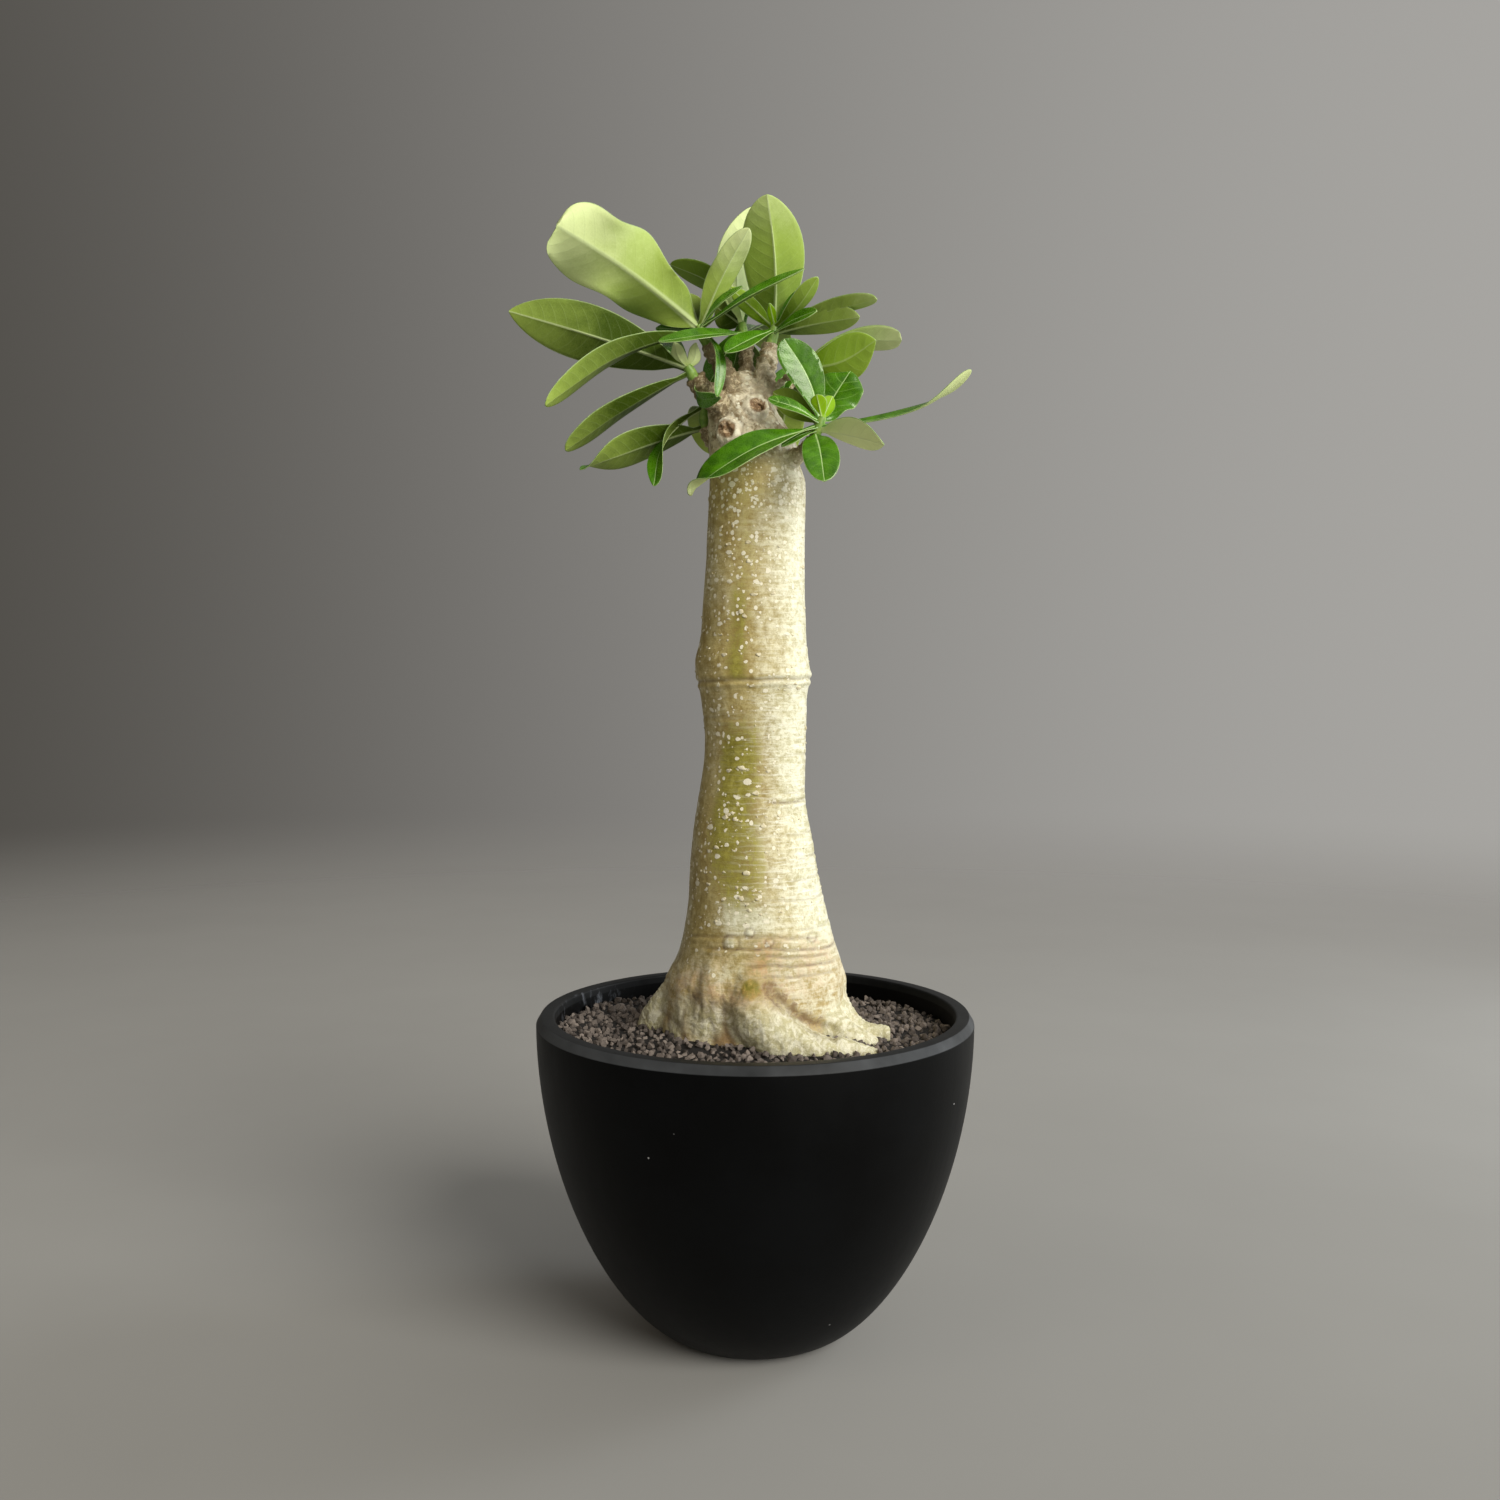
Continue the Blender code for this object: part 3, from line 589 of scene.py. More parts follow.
def acrossFrom(points, path):
    # distance in mm of every point from a path drawn on the front, seen from the front
    flat = points[:, (0, 2)]
    away = np.full(len(points), 1e9)
    for start, end in zip(np.array(path, float), np.array(path[1:], float)):
        run = end - start
        share = np.clip(((flat - start) @ run) / (run @ run), 0, 1)
        away = np.minimum(away, np.linalg.norm(flat - start - share[:, None] * run, axis=1))
    return np.where(points[:, 1] < 4, away, 1e9)


def barkRelief(points):
    # outward relief in mm and the colour fields that go with it
    z = points[:, 2]
    # the crease field is painted shade: it darkens the creases, grooves, cracks and rings set below
    creaseShade, stain, raised, rough, root, scar = np.zeros((6, len(points)))

    def waves(across, up, seed):
        return noiseAt(points, (across, across, up), seed)

    def facing(degrees, reach):
        return bell(angleFrom(points, degrees), 0, reach)

    front = facing(-90, 80)
    right = facing(-20, 60)
    lumps = waves(0.12, 0.09, 2)
    head = ease(z, 334, 346)
    foot = 1 - ease(z, 138, 158)
    middle = (1 - head) * (1 - foot)
    relief = 0.35 * waves(0.05, 0.03, 1) * middle + 0.5 * lumps * (foot + 0.8 * head) + 0.16 * lumps * middle
    lined = band(z, 146, 158, 238, 250) * (0.3 + 0.4 * right) + 0.2 * ease(z, 262, 270) * middle
    relief += (0.2 * waves(0.07, 0.55, 4) + 0.14 * waves(0.12, 1.1, 5)) * lined
    relief += waves(0.4, 0.4, 3) * (0.1 * middle * ease(z, 285, 335) + 0.38 * head + 0.22 * foot)
    relief += waves(0.22, 0.22, 7) * (0.75 * head + 0.35 * foot + 0.08 * middle)

    # growth ring: a thin groove under a puckered lip, right round, darkened with painted shade
    sway = 0.9 * waves(0.05, 0, 6) + 0.5 * waves(0.14, 0, 26)
    ring = trunk["ringHeight"] + sway + 0.8 * np.sin(np.radians(angleFrom(points, -120)))
    groove = bell(z, ring, 0.5) * (0.75 + 0.5 * waves(0.12, 0, 28))
    pucker = 0.7 + 0.6 * waves(0.3, 0.05, 27)
    relief += 0.45 * bell(z, ring - 1.7, 0.9) + 0.6 * bell(z, ring + 1.8, 1.3) * pucker
    relief -= trunk["ringDepth"] * groove
    creaseShade += 0.8 * groove
    # each level crease also darkens its line with painted shade
    for height, lift, direction, reach, depth in trunk["creases"]:
        line = height + lift * front + sway * 1.3
        reached = 1 - ease(np.abs(angleFrom(points, direction)), reach * 0.7, reach)
        dent = bell(z, line, 0.5) * reached
        relief += -depth * dent + 0.6 * depth * bell(z, line - 1.4, 0.8) * reached
        creaseShade += dent * min(1, depth * 1.7)

    ragged = waves(0.3, 0.3, 17)
    # each fold is stained brown round it and darkened along its line with painted shade
    for path, depth, width, brown in trunk["folds"]:
        away = acrossFrom(points, path) + 0.8 * ragged
        relief -= depth * bell(away, 0, width) * (1 - 0.4 * head)
        creaseShade += brown * 0.8 * bell(away, 0, 0.8)
        stain += brown * bell(away, 0, 3.8)
    # each blister is ringed with painted shade where it meets the bark
    for x, height, radius, swell in trunk["blisters"]:
        away = acrossFrom(points, ((x, height), (x + 0.4, height)))
        relief += swell * bell(away, 0, radius * 0.8) - 0.22 * bell(away, radius + 0.4, 0.45)
        creaseShade += 0.7 * bell(away, radius + 0.4, 0.4)
        raised += 0.6 * bell(away, 0, radius * 0.7)

    for path in roots.values():
        place, away, radius = alongLimb(points, path)
        near = ease(place, 6, 14) * (1 - ease(away / radius, 1.02, 1.25))
        ridges = np.sin(place * 2 * math.pi / 1.9 + 2.5 * waves(0.2, 0.2, 8))
        relief += near * (0.13 * ridges + 0.2 * waves(0.5, 0.2, 9))
        root = np.maximum(root, near * (1 - ease(z, 128, 140)))
    for name, path in stubs.items():
        place, away, radius = alongLimb(points, path)
        near = ease(place, 1.5, 5) * (1 - ease(away / radius, 1.15, 1.5)) * ease(z, 335, 342)
        rings = np.sin(place * 2 * math.pi / 2.6 + 2 * waves(0.25, 0.25, 10))
        relief += near * (0.3 * rings + 0.6 * waves(0.45, 0.45, 11))
        rough = np.maximum(rough, near * (0.45 if name in ("pale stem", "thin twig") else 0.9))
    # painted shade darkens the cracks of each scar and the rings round it
    for place, _ in trunk["scars"]:
        away = np.linalg.norm(points - np.array(place), axis=1)
        away += 0.5 * ragged + 0.7 * waves(0.2, 0.2, 30)
        pit = 1 - ease(away, 2.4, 3.4)
        cracks = 1 - ease(np.abs(waves(0.45, 0.45, 12)), 0.03, 0.16)
        relief += pit * (0.9 + 0.8 * waves(0.7, 0.7, 29) - 1.6 * cracks)
        relief += bell(away, 4.1, 0.8) * (0.25 + 0.6 * waves(0.5, 0.5, 13)) - 0.4 * bell(away, 5.8, 0.6)
        scar = np.maximum(scar, 1 - ease(away, 3.1, 3.7))
        creaseShade += pit * cracks + bell(away, 3.3, 0.35) * 0.6 + bell(away, 5.8, 0.5) * 0.5
        raised += 0.7 * bell(away, 4.3, 0.7)
        rough *= ease(away, 4.5, 6.5)

    green = waves(0.06, 0.03, 14)
    olive = (1 - ease(np.abs(angleFrom(points, -108) + 10 * green), 8, 40)) * band(z, 158, 180, 226, 250)
    # direction, reach, the four heights of a band and the strength of each further olive patch
    for direction, reach, low, high, late, end, strength in (
            (-107, 13, 252, 257, 275, 300, 1.1), (-98, 34, 282, 300, 322, 336, 0.3),
            (-5, 22, 168, 180, 200, 235, 0.42), (80, 60, 168, 190, 235, 300, 0.6)):
        olive += facing(direction, reach) * band(z, low, high, late, end) * strength
    olive *= 0.85 + 0.5 * green
    olive += 1 - ease(np.linalg.norm(points - np.array(trunk["patch"]), axis=1), 2.3, 5.8)
    # paleness: the bark's own cream on the foot, the head, the raised lips and towards the back, and painted
    # light: paler on the lit right-front side, a painted silvery highlight low on the front-left, and
    # painted shade of the leaves darkening the bark just under the head
    pale = 0.16 + 0.8 * facing(-22, 52) * middle + 0.42 * foot + 0.3 * head + raised
    pale += 0.8 * facing(-104, 22) * bell(z, 165, 6)
    pale += 0.35 * facing(150, 40) * middle - 0.3 * ease(z, 310, 326) * (1 - head)
    pale += 0.25 * waves(0.08, 0.04, 15)
    warm = band(z, 130, 141, 155, 161) * facing(-70, 60) + 0.8 * (1 - ease(z, 140, 150)) * facing(-125, 34)
    warm = warm * (0.55 + 0.9 * waves(0.09, 0.12, 16))
    speck = 0.25 + 0.26 * ease(z, 262, 300) + 0.6 * ease(z, 312, 326)
    speck += 0.3 * bell(z, ring - 2.5, 1.6) * front - 0.4 * foot - 0.35 * head - 0.1 * right
    speck += 0.35 * waves(0.11, 0.14, 18)
    # streaks: the bark's pale level streaks on the lit right side, partly a painted sheen there, and the
    # raised lips of the head
    streakAndSheen = right * band(z, 160, 175, 236, 262) + 0.35 * right * middle + raised * head
    fields = dict(barkTone=(olive, pale, rough), barkMark=(creaseShade, warm, root),
                  barkPlace=(speck, head, streakAndSheen), barkWound=(stain, scar, foot))
    return relief, {name: tuple(np.clip(parts, 0, 1)) for name, parts in fields.items()}


def makeTrunk(material):
    made = trunkSkin()
    mesh = made.data
    edges = numbersOf(mesh.edges, "vertices", 2, int)
    points = pointsOf(mesh)
    low = 1 - ease(points[:, 2], 142, 165)
    points = relaxed(points, edges, trunk["relaxRounds"], np.full(len(points), 0.5))
    points = relaxed(points, edges, trunk["footRounds"], 0.5 * low)
    setPoints(mesh, points)
    relief, fields = barkRelief(points)
    setPoints(mesh, points + numbersOf(mesh.vertices, "normal", 3) * relief[:, None])
    setFields(mesh, **fields)
    mesh.materials.clear()
    mesh.materials.append(material)
    mesh.shade_smooth()
    return made


# Raised cream lenticels, scattered over the bark in loose rows

lenticels = dict(
    spacing=1.5, density=260000, smallest=0.35, largest=1.15, seed=7, wobble=1.5,
    # height, spread and amount of each row
    rows=((250.5, 2.2, 0.9), (233, 3.5, 0.9), (219, 2.5, 0.8), (209, 2.5, 0.9), (202, 3, 0.9),
          (190, 2.5, 0.7), (183, 3.0, 0.9), (175, 4.5, 1.2), (167, 3.0, 1.0), (262, 5, 0.5)),
)


def lenticelTree():
    tree, given = newShapeTree("lenticels", **scatterInputs)
    chance = shape(tree, "InputNamedAttribute", {"Name": "lenticel"}, data_type="FLOAT")
    spots = scatter(tree, given, chance)
    level = vectorSum("CROSS_PRODUCT", spots["Normal"], (0, 0, 1))
    upright = addNode(tree, "FunctionNodeAlignRotationToVector", {"Vector": spots["Normal"]}, axis="Z")
    turned = addNode(tree, "FunctionNodeAlignRotationToVector",
                     {"Rotation": upright.outputs[0], "Vector": level}, axis="X", pivot_axis="Z")
    # most are small and a few are large
    luck = sums("POWER", randomly(tree, 0.0, 1.0, given["Seed"]), 3.0)
    size = scaled(luck, sums("SUBTRACT", given["Largest"], given["Smallest"]), given["Smallest"])
    form = randomly(tree, (0.9, 0.6, 0.2), (1.5, 1.0, 0.32))
    blob = shape(tree, "MeshIcoSphere", {"Radius": 1.0, "Subdivisions": 2})
    spread = shape(tree, "InstanceOnPoints", {
        "Points": spots["Points"], "Instance": blob, "Rotation": turned.outputs[0],
        "Scale": vectorSum("SCALE", form, factor=size)})
    real = shape(tree, "RealizeInstances", {0: spread})
    wobble = addNode(tree, "ShaderNodeTexNoise", {"Scale": 900.0, "Detail": 1.0}).outputs["Color"]
    centred = vectorSum("SUBTRACT", wobble, (0.5, 0.5, 0.5))
    offset = vectorSum("SCALE", centred, factor=lenticels["wobble"] * mm)
    uneven = shape(tree, "SetPosition", {"Geometry": real, "Offset": offset})
    return closeShapeTree(tree, given, shape(tree, "SetShadeSmooth", {0: uneven}))


def makeLenticels(trunkPiece, material):
    mesh = trunkPiece.data.copy()
    points = pointsOf(mesh)
    z = points[:, 2]
    left = bell(angleFrom(points, -115), 0, 52)
    chance = np.zeros(len(points))
    wander = 2.5 * noiseAt(points, (0.05, 0.05, 0), 21)
    for height, spread, amount in lenticels["rows"]:
        chance += amount * bell(z, height + wander, spread) * (0.3 + 0.7 * left)
    chance += 0.25 * band(z, 262, 280, 334, 342)
    chance *= ease(noiseAt(points, (0.22, 0.22, 0.3), 22), -0.1, 0.22)
    setFields(mesh, lenticel=np.clip(chance, 0, 1))
    made = addObject("trunk_lenticels", mesh)
    return runShapeTree(made, lenticelTree(), material, **scatterValues(lenticels))


# Gravel: a dark bed with crushed grains lying on it

gravel = dict(
    level=116.0, mound=5.5, moundRadius=56, clearance=0.4, spacing=2.3, density=400000, shapes=14,
    smallest=0.95, largest=2.1, corners=16, seed=5, rings=60, sides=180, bottom=100,
    headroom=1.2,
)


def gravelHeight(x, y):
    # the fill is highest round the trunk and heaped towards the left of the rim
    away = math.hypot(x, y)
    mound = gravel["mound"] * max(0, 1 - (away / gravel["moundRadius"]) ** 2)
    heap = 1.6 * ease(np.float64(-x), 20, 75) - 0.6 * ease(np.float64(y), 20, 75)
    return gravel["level"] + mound + heap + 0.7 * noise.noise(Vector((x, y, 0)) * 0.09)


def gravelSheet():
    # the top of the fill, out to the inner wall, as rings of quads
    bm = bmesh.new()
    reach = potRadius(gravel["level"]) - pot["wall"] - gravel["clearance"]
    middle = bm.verts.new(Vector((0, 0, gravelHeight(0, 0))) * mm)
    rings = []
    for ring in range(1, gravel["rings"] + 1):
        radius = reach * ring / gravel["rings"]
        places = [(radius * cosine, radius * sine) for cosine, sine in around(gravel["sides"])]
        rings.append([bm.verts.new(Vector((x, y, gravelHeight(x, y))) * mm) for x, y in places])
    for side in range(gravel["sides"]):
        bm.faces.new((middle, rings[0][side], rings[0][(side + 1) % gravel["sides"]]))
    for inner, outer in zip(rings, rings[1:]):
        for side in range(gravel["sides"]):
            after = (side + 1) % gravel["sides"]
            bm.faces.new((inner[side], outer[side], outer[after], inner[after]))
    return bm


def makeBed(material):
    bm = gravelSheet()
    edges = [edge for edge in bm.edges if edge.is_boundary]
    skirt = bmesh.ops.extrude_edge_only(bm, edges=edges)["geom"]
    for vert in (item for item in skirt if isinstance(item, bmesh.types.BMVert)):
        vert.co.z = gravel["bottom"] * mm
        shrink = (potRadius(gravel["bottom"]) - pot["wall"] - gravel["clearance"]) * mm / vert.co.xy.length
        vert.co.x *= shrink
        vert.co.y *= shrink
    bmesh.ops.holes_fill(bm, edges=[edge for edge in bm.edges if edge.is_boundary])
    bmesh.ops.recalc_face_normals(bm, faces=bm.faces)
    made = addObject("gravel_bed", meshFrom(bm, "gravel_bed"))
    made.data.materials.append(material)
    shadeBy(made.data, 50)
    return made


def grainShapes():
    # crushed stones: hulls of random points, each a little flattened
    random.seed(gravel["seed"])
    box = bpy.data.collections.new("grainShapes")
    for number in range(gravel["shapes"]):
        bm = bmesh.new()
        for _ in range(gravel["corners"]):
            corner = Vector([random.gauss(0, 1) for _ in range(3)]).normalized()
            corner *= random.uniform(0.78, 1)
            bm.verts.new((corner.x * 1.12, corner.y, corner.z * 0.82))
        hull = bmesh.ops.convex_hull(bm, input=bm.verts)
        bmesh.ops.delete(bm, geom=[item for item in hull["geom_interior"] if item.is_valid], context="VERTS")
        box.objects.link(bpy.data.objects.new("grain %d" % number, meshFrom(bm, "grain")))
    return box


def grainTree():
    tree, given = newShapeTree("grains", Shapes="Collection", **scatterInputs)
    shapes = shape(tree, "CollectionInfo",
                   {"Collection": given["Shapes"], "Separate Children": True, "Reset Children": True})
    spread = shape(tree, "InstanceOnPoints", {
        "Points": scatter(tree, given)["Points"], "Instance": shapes, "Pick Instance": True,
        "Rotation": randomly(tree, (0, 0, 0), (6.283, 6.283, 6.283)),
        "Scale": randomly(tree, given["Smallest"], given["Largest"], given["Seed"])})
    drift = randomly(tree, (-0.3 * mm, -0.3 * mm, -0.5 * mm), (0.3 * mm, 0.3 * mm, 0.9 * mm), 3)
    moved = shape(tree, "TranslateInstances",
                  {"Instances": spread, "Translation": drift, "Local Space": False})
    toned = shape(tree, "StoreNamedAttribute",
                  {"Geometry": moved, "Name": "grainTone", "Value": randomly(tree, 0.0, 1.0, 9)},
                  data_type="FLOAT", domain="INSTANCE")
    return closeShapeTree(tree, given, shape(tree, "RealizeInstances", {0: toned}))


def makeGrains(trunkPiece, material):
    # grains lie wherever the fill isn't covered by the trunk
    bm = gravelSheet()
    body = BVHTree.FromObject(trunkPiece, bpy.context.evaluated_depsgraph_get())
    covered = []
    for face in bm.faces:
        _, normal, _, distance = body.ray_cast(face.calc_center_median(), Vector((0, 0, 1)))
        if normal and (normal.z > 0 or distance < gravel["headroom"] * mm):
            covered.append(face)
    bmesh.ops.delete(bm, geom=covered, context="FACES")
    made = addObject("gravel_grains", meshFrom(bm, "gravel_grains"))
    box = grainShapes()
    runShapeTree(made, grainTree(), material, Shapes=box, **scatterValues(gravel))
    for stone in list(box.objects):
        bpy.data.objects.remove(stone)
    bpy.data.collections.remove(box)
    return made


# Leafy shoots: a green stem with its leaves, one piece for each shoot

blade = dict(
    rowLength=1.1, fewestRows=18, halfColumns=8, slimColumns=5, slimWidth=7, crowding=1.35,
    petioleHalf=1.1, tipHalf=0.35, thickness=0.62, rimOut=0.14, petioleThickness=1.9, petioleShare=0.13,
    neck=0.2, foldFoot=1.35, foldTip=0.65, ribSunk=0.22, ribRaised=0.4, ribHalf=0.75, veinSpacing=4.4,
    quilt=0.1, ripple=0.3, cusp=0.9, waveReach=0.035, waveShift=0.4,
)
# the finishes of a shoot's faces
topSide, underSide, leafRim, greenStem = range(4)

# low: how far under the shoot's top it is rooted. bow, sway, nod: bends. fold, curl: halves raised,
# margins turned back. twist, late: turn towards the tip, and how near the tip it starts. form,
# point: outline. shade: painted light on the underside, paler on lit leaves and where light comes
# through, darker on leaves in shade. young: how yellow-green, for young leaves, and on some older
# leaves also a painted glow of light coming through. rib: how plain the midrib is, and above 1 the
# side veins too. keel: how broad the midrib is. wave, waves, phase: margin.
plainLeaf = dict(
    low=1.5, bow=0, sway=0, fold=12, twist=0, late=2, curl=0, nod=0, form=1.15, point=0.55, shade=0.3,
    young=0, rib=1, keel=1, wave=0, waves=2, phase=0,
)


def leaf(tip, width, faces, **bends):
    # tip: where it ends. faces: where its glossy side looks
    return plainLeaf | dict(tip=tip, width=width, faces=faces) | bends


# each shoot: x, y, z and radius along its stem, then its leaves
shoots = dict(
    leafy_shoot_front_right=(
        ((19.2, -13.6, 341, 1.8), (21.8, -16.2, 344.5, 1.8), (23.6, -17, 348, 2.1), (25, -17, 352, 1.5)),
        leaf((-24, -27, 323), 18, (0, -0.8, 1), low=4, bow=4.5, twist=95, late=9, fold=16, point=0.5,
             shade=1.0, rib=1.2, wave=0.5),
        leaf((24.6, -38, 326), 13.5, (0, -0.7, 0.7), low=7, bow=3, fold=8, form=0.7, point=0.42, rib=1.4),
        leaf((46, -30, 340), 16, (0, 0.6, 0.8), low=5, bow=1, point=0.75, shade=2.1),
        leaf((80, -18, 355), 8.6, (0, -0.5, 1), low=4, nod=-14, twist=-95, late=5, fold=10, form=1.1,
             point=0.5, shade=1.2),
        leaf((11, -19, 379.5), 14, (0.09, -0.98, 0.18), low=2, bow=-0.5, sway=2.5, fold=8, form=1.1,
             point=0.45),
        leaf((36, -4, 371), 20, (-0.2, -1, 0.5), low=2, bow=-2, sway=-1.5, curl=0.2, form=0.9, rib=1.8,
             wave=1.4, waves=2.6),
        leaf((23, -19, 359), 6, (0.2, 1, 0), low=0.5, form=0.8, point=0.3, young=1),
        leaf((28.5, -14, 359.5), 6, (-0.4, 1, 0.1), low=0.5, form=0.8, point=0.35, young=1),
        leaf((5.5, -21.5, 357.5), 7.5, (0, -0.8, 0.8), low=2.5, bow=1.5, point=0.4, rib=3),
        leaf((7.5, -10.5, 362), 10, (0, 1, 0.5), low=2.5, shade=0.15, young=0.3),
        leaf((10.5, -23, 340.5), 7, (0, -0.5, 1), low=5.5, bow=1, rib=1.5),
    ),
    leafy_shoot_centre_right=(
        ((5.2, -5.4, 378.5, 2.2), (6, -5, 382.5, 2.2), (7, -5, 386, 2.2), (7.6, -5.2, 389, 1.5)),
        leaf((44.5, -14, 396), 11, (0, 0.35, 1), bow=1, fold=16, point=0.4, shade=0.6, rib=0.4),
        leaf((38.5, -8, 391), 15, (0, 0.65, 1), low=3.5, bow=1, form=1, shade=0.5, rib=0.6),
        leaf((4.3, -19, 432), 25, (-0.05, 1, 0.1), low=3, bow=3, sway=-2, fold=22, form=0.75, shade=0.75,
             young=0.12),
        leaf((-9, -2.5, 403), 6.5, (0.1, 1, 0.1), fold=6, form=0.9, young=0.5),
        leaf((-10.5, -21.5, 375), 9.5, (0.2, -0.7, 1), low=2.5, bow=1, fold=14),
        leaf((22.4, -19, 402.3), 9, (-0.3, 0.5, 0.9), bow=-2, fold=16, shade=0.25, young=0.2, rib=0.4),
        leaf((22, -20, 390), 8, (0, -1, 0.7), low=3.5, bow=1),
        leaf((19, -10, 400.5), 7, (-0.5, -1, 0.4), fold=25, rib=1.5),
        leaf((5.5, -11.5, 394.5), 3.4, (0, 1, 0), low=1, fold=6, form=0.9, young=1),
    ),
    leafy_shoot_centre_left=(
        ((-16.6, -8.2, 377.5, 1.8), (-18.2, -8, 380.8, 1.8), (-20, -8, 384.5, 2.2),
         (-21.5, -8.5, 388, 1.5)),
        leaf((-71, -32, 417.5), 29.5, (0, 1, 0.35), bow=4, sway=-1.3, fold=18, nod=2, form=0.55, point=0.24,
             shade=1.2, rib=1.2, keel=1.8, wave=2.8, waves=2.2, phase=0.6),
        leaf((-73.8, -44, 351.8), 15, (0, 0.5, 1), low=3, bow=3.5, sway=-3.5, fold=20, twist=22, form=1.1,
             shade=0.15, rib=0.25),
        leaf((-2.9, -22, 419), 11, (-0.35, 1, 0.1), bow=2, sway=0.5, fold=20, form=0.75, point=0.5,
             shade=1.1, wave=0.5),
        leaf((-14.5, -21, 359.5), 5, (0.7, -0.8, 0.1), low=2, bow=5, sway=-1, fold=20, form=1.1, point=0.45,
             rib=0.4),
        leaf((17.4, -15, 406.6), 9, (-0.5, -0.5, 0.8), bow=1, fold=20, form=1.5, point=0.7),
        leaf((-16, -3, 399), 5, (0, 1, 0.2), low=1, form=0.9, young=0.6),
        leaf((-25.5, 1, 401.5), 9, (0, 1, 0.3), form=1),
        leaf((-37, -3, 388), 6, (0, -1, 0.4), low=2, form=1),
        leaf((-5.4, -15, 400), 7, (-0.4, -0.6, 0.8), bow=1.5, fold=16),
    ),
    leafy_shoot_left=(
        ((-21.6, -12.2, 364.6, 2.2), (-23.2, -13, 367.5, 2.1), (-24.4, -13.8, 369.5, 2.3),
         (-25.6, -14.6, 371.5, 1.6)),
        leaf((-91.5, -12, 392), 22, (0, 1, 0.35), bow=2.5, sway=-0.5, fold=16, form=1.05, point=0.7,
             shade=0.05),
        leaf((-69.5, -22, 339.5), 15, (0, 0.4, 1), low=3, bow=1.5, fold=14, form=1.1, point=0.45,
             shade=-0.05, rib=0.2),
        leaf((-30, -14, 379.5), 6, (0.3, 1, 0.2), low=0.8, sway=1.2, form=0.8, shade=2),
        leaf((-22.5, -14.5, 379), 5, (-0.3, 1, 0.2), low=0.8, sway=-1.2, form=0.8, shade=2),
        leaf((-50, 20, 386), 20, (0, -0.4, 1), low=2.5, bow=5),
        leaf((-13.5, -20, 359), 7.5, (-0.3, -0.6, -0.75), low=7, bow=4, sway=1.5, form=0.9, rib=0.2),
    ),
    leafy_shoot_centre_back=(
        ((-3.8, 0, 379, 1.7), (-4, 0, 382.8, 1.7), (-4.6, 0.4, 387, 2.1), (-5, 1, 391, 1.5)),
        leaf((-1.5, 3, 434.5), 16, (-0.55, 1, -0.1), bow=2, sway=3.5, fold=14, form=0.8, point=0.6,
             shade=2.3),
        leaf((-32.5, 14, 416.5), 14, (0, 0.6, 1), low=1, bow=6, fold=10, shade=0.2, young=0.35),
        leaf((-34.6, -25, 378), 11, (0, -0.7, 1), low=4.5, bow=3, sway=-6),
        leaf((-11, 26, 409), 17, (0, -0.7, 1), low=2.5, bow=3),
        leaf((-2, 20, 412), 10, (0, -1, 0.6), bow=2),
        leaf((-14.5, 4, 397.5), 12, (0.2, 1, 0.2), low=1, bow=1, shade=-0.2),
        leaf((-18, 11, 370), 11, (0.2, -1, 0.4), low=0.5, form=1.3),
        leaf((-3, 44, 364), 20, (0, 0.4, 1), low=4, bow=2, shade=-0.1),
        leaf((9, 55, 391), 19, (0, -0.1, 1), low=5, bow=7),
    ),
    leafy_shoot_low_left=(
        ((-19, 5, 349.2, 1.7), (-20, 5, 352.5, 1.7), (-20, 4, 356.5, 2), (-19.4, 3, 361, 1.5)),
        leaf((-65.5, -10, 334), 17, (0, 0.9, 1), low=9.5, bow=1, fold=10, twist=-80, late=8, form=1,
             point=0.65, shade=0.2, rib=0.6),
        leaf((-38, -10, 328.2), 10, (-0.7, 0.3, 0.6), bow=6, twist=-85, fold=20),
        leaf((-18, 50, 349), 18, (0, 0.4, 1), low=3, bow=8),
    ),
    leafy_shoot_back_right=(
        ((14.4, 12.4, 371.8, 1.6), (16, 13, 374.6, 1.6), (17.4, 13.2, 377, 2), (18.6, 13.4, 379.5, 1.4)),
        leaf((56.5, 20, 390), 14, (0, 0.6, 1), bow=4, nod=2, point=0.3, shade=1.1),
        leaf((46, 8, 385.8), 18, (0, 1, 0.4), low=3, bow=1, sway=-3.5, point=0.7, young=0.4, rib=0.4),
        leaf((7.6, 2, 368), 6, (0, -1, 0.4), low=2.5, bow=1),
        leaf((10.5, 1, 364.5), 7, (0.3, 0.5, 1), low=2.8, bow=2),
        leaf((32, 50, 378), 18, (0, -0.2, 1), low=3, bow=6),
        leaf((10, 55, 345), 18, (0, 0.4, 1), low=4, bow=9),
    ),
)


def belowTop(stem, low):
    # the point on the stem's middle line that lies low mm under its end
    left = low
    for upper, lower in zip(reversed(stem), reversed(stem[:-1])):
        start = Vector(upper[:3])
        run = Vector(lower[:3]) - start
        if run.length >= left:
            return start + run * (left / run.length)
        left -= run.length
    return Vector(stem[0][:3])


def outlineOf(share, form, point):
    # half width as a share of its largest, narrowed at the foot
    widest = form / (form + point)
    peak = widest ** form * (1 - widest) ** point
    neck = min(1, share / blade["neck"])
    return share ** form * (1 - share) ** point / peak * neck * (2 - neck)


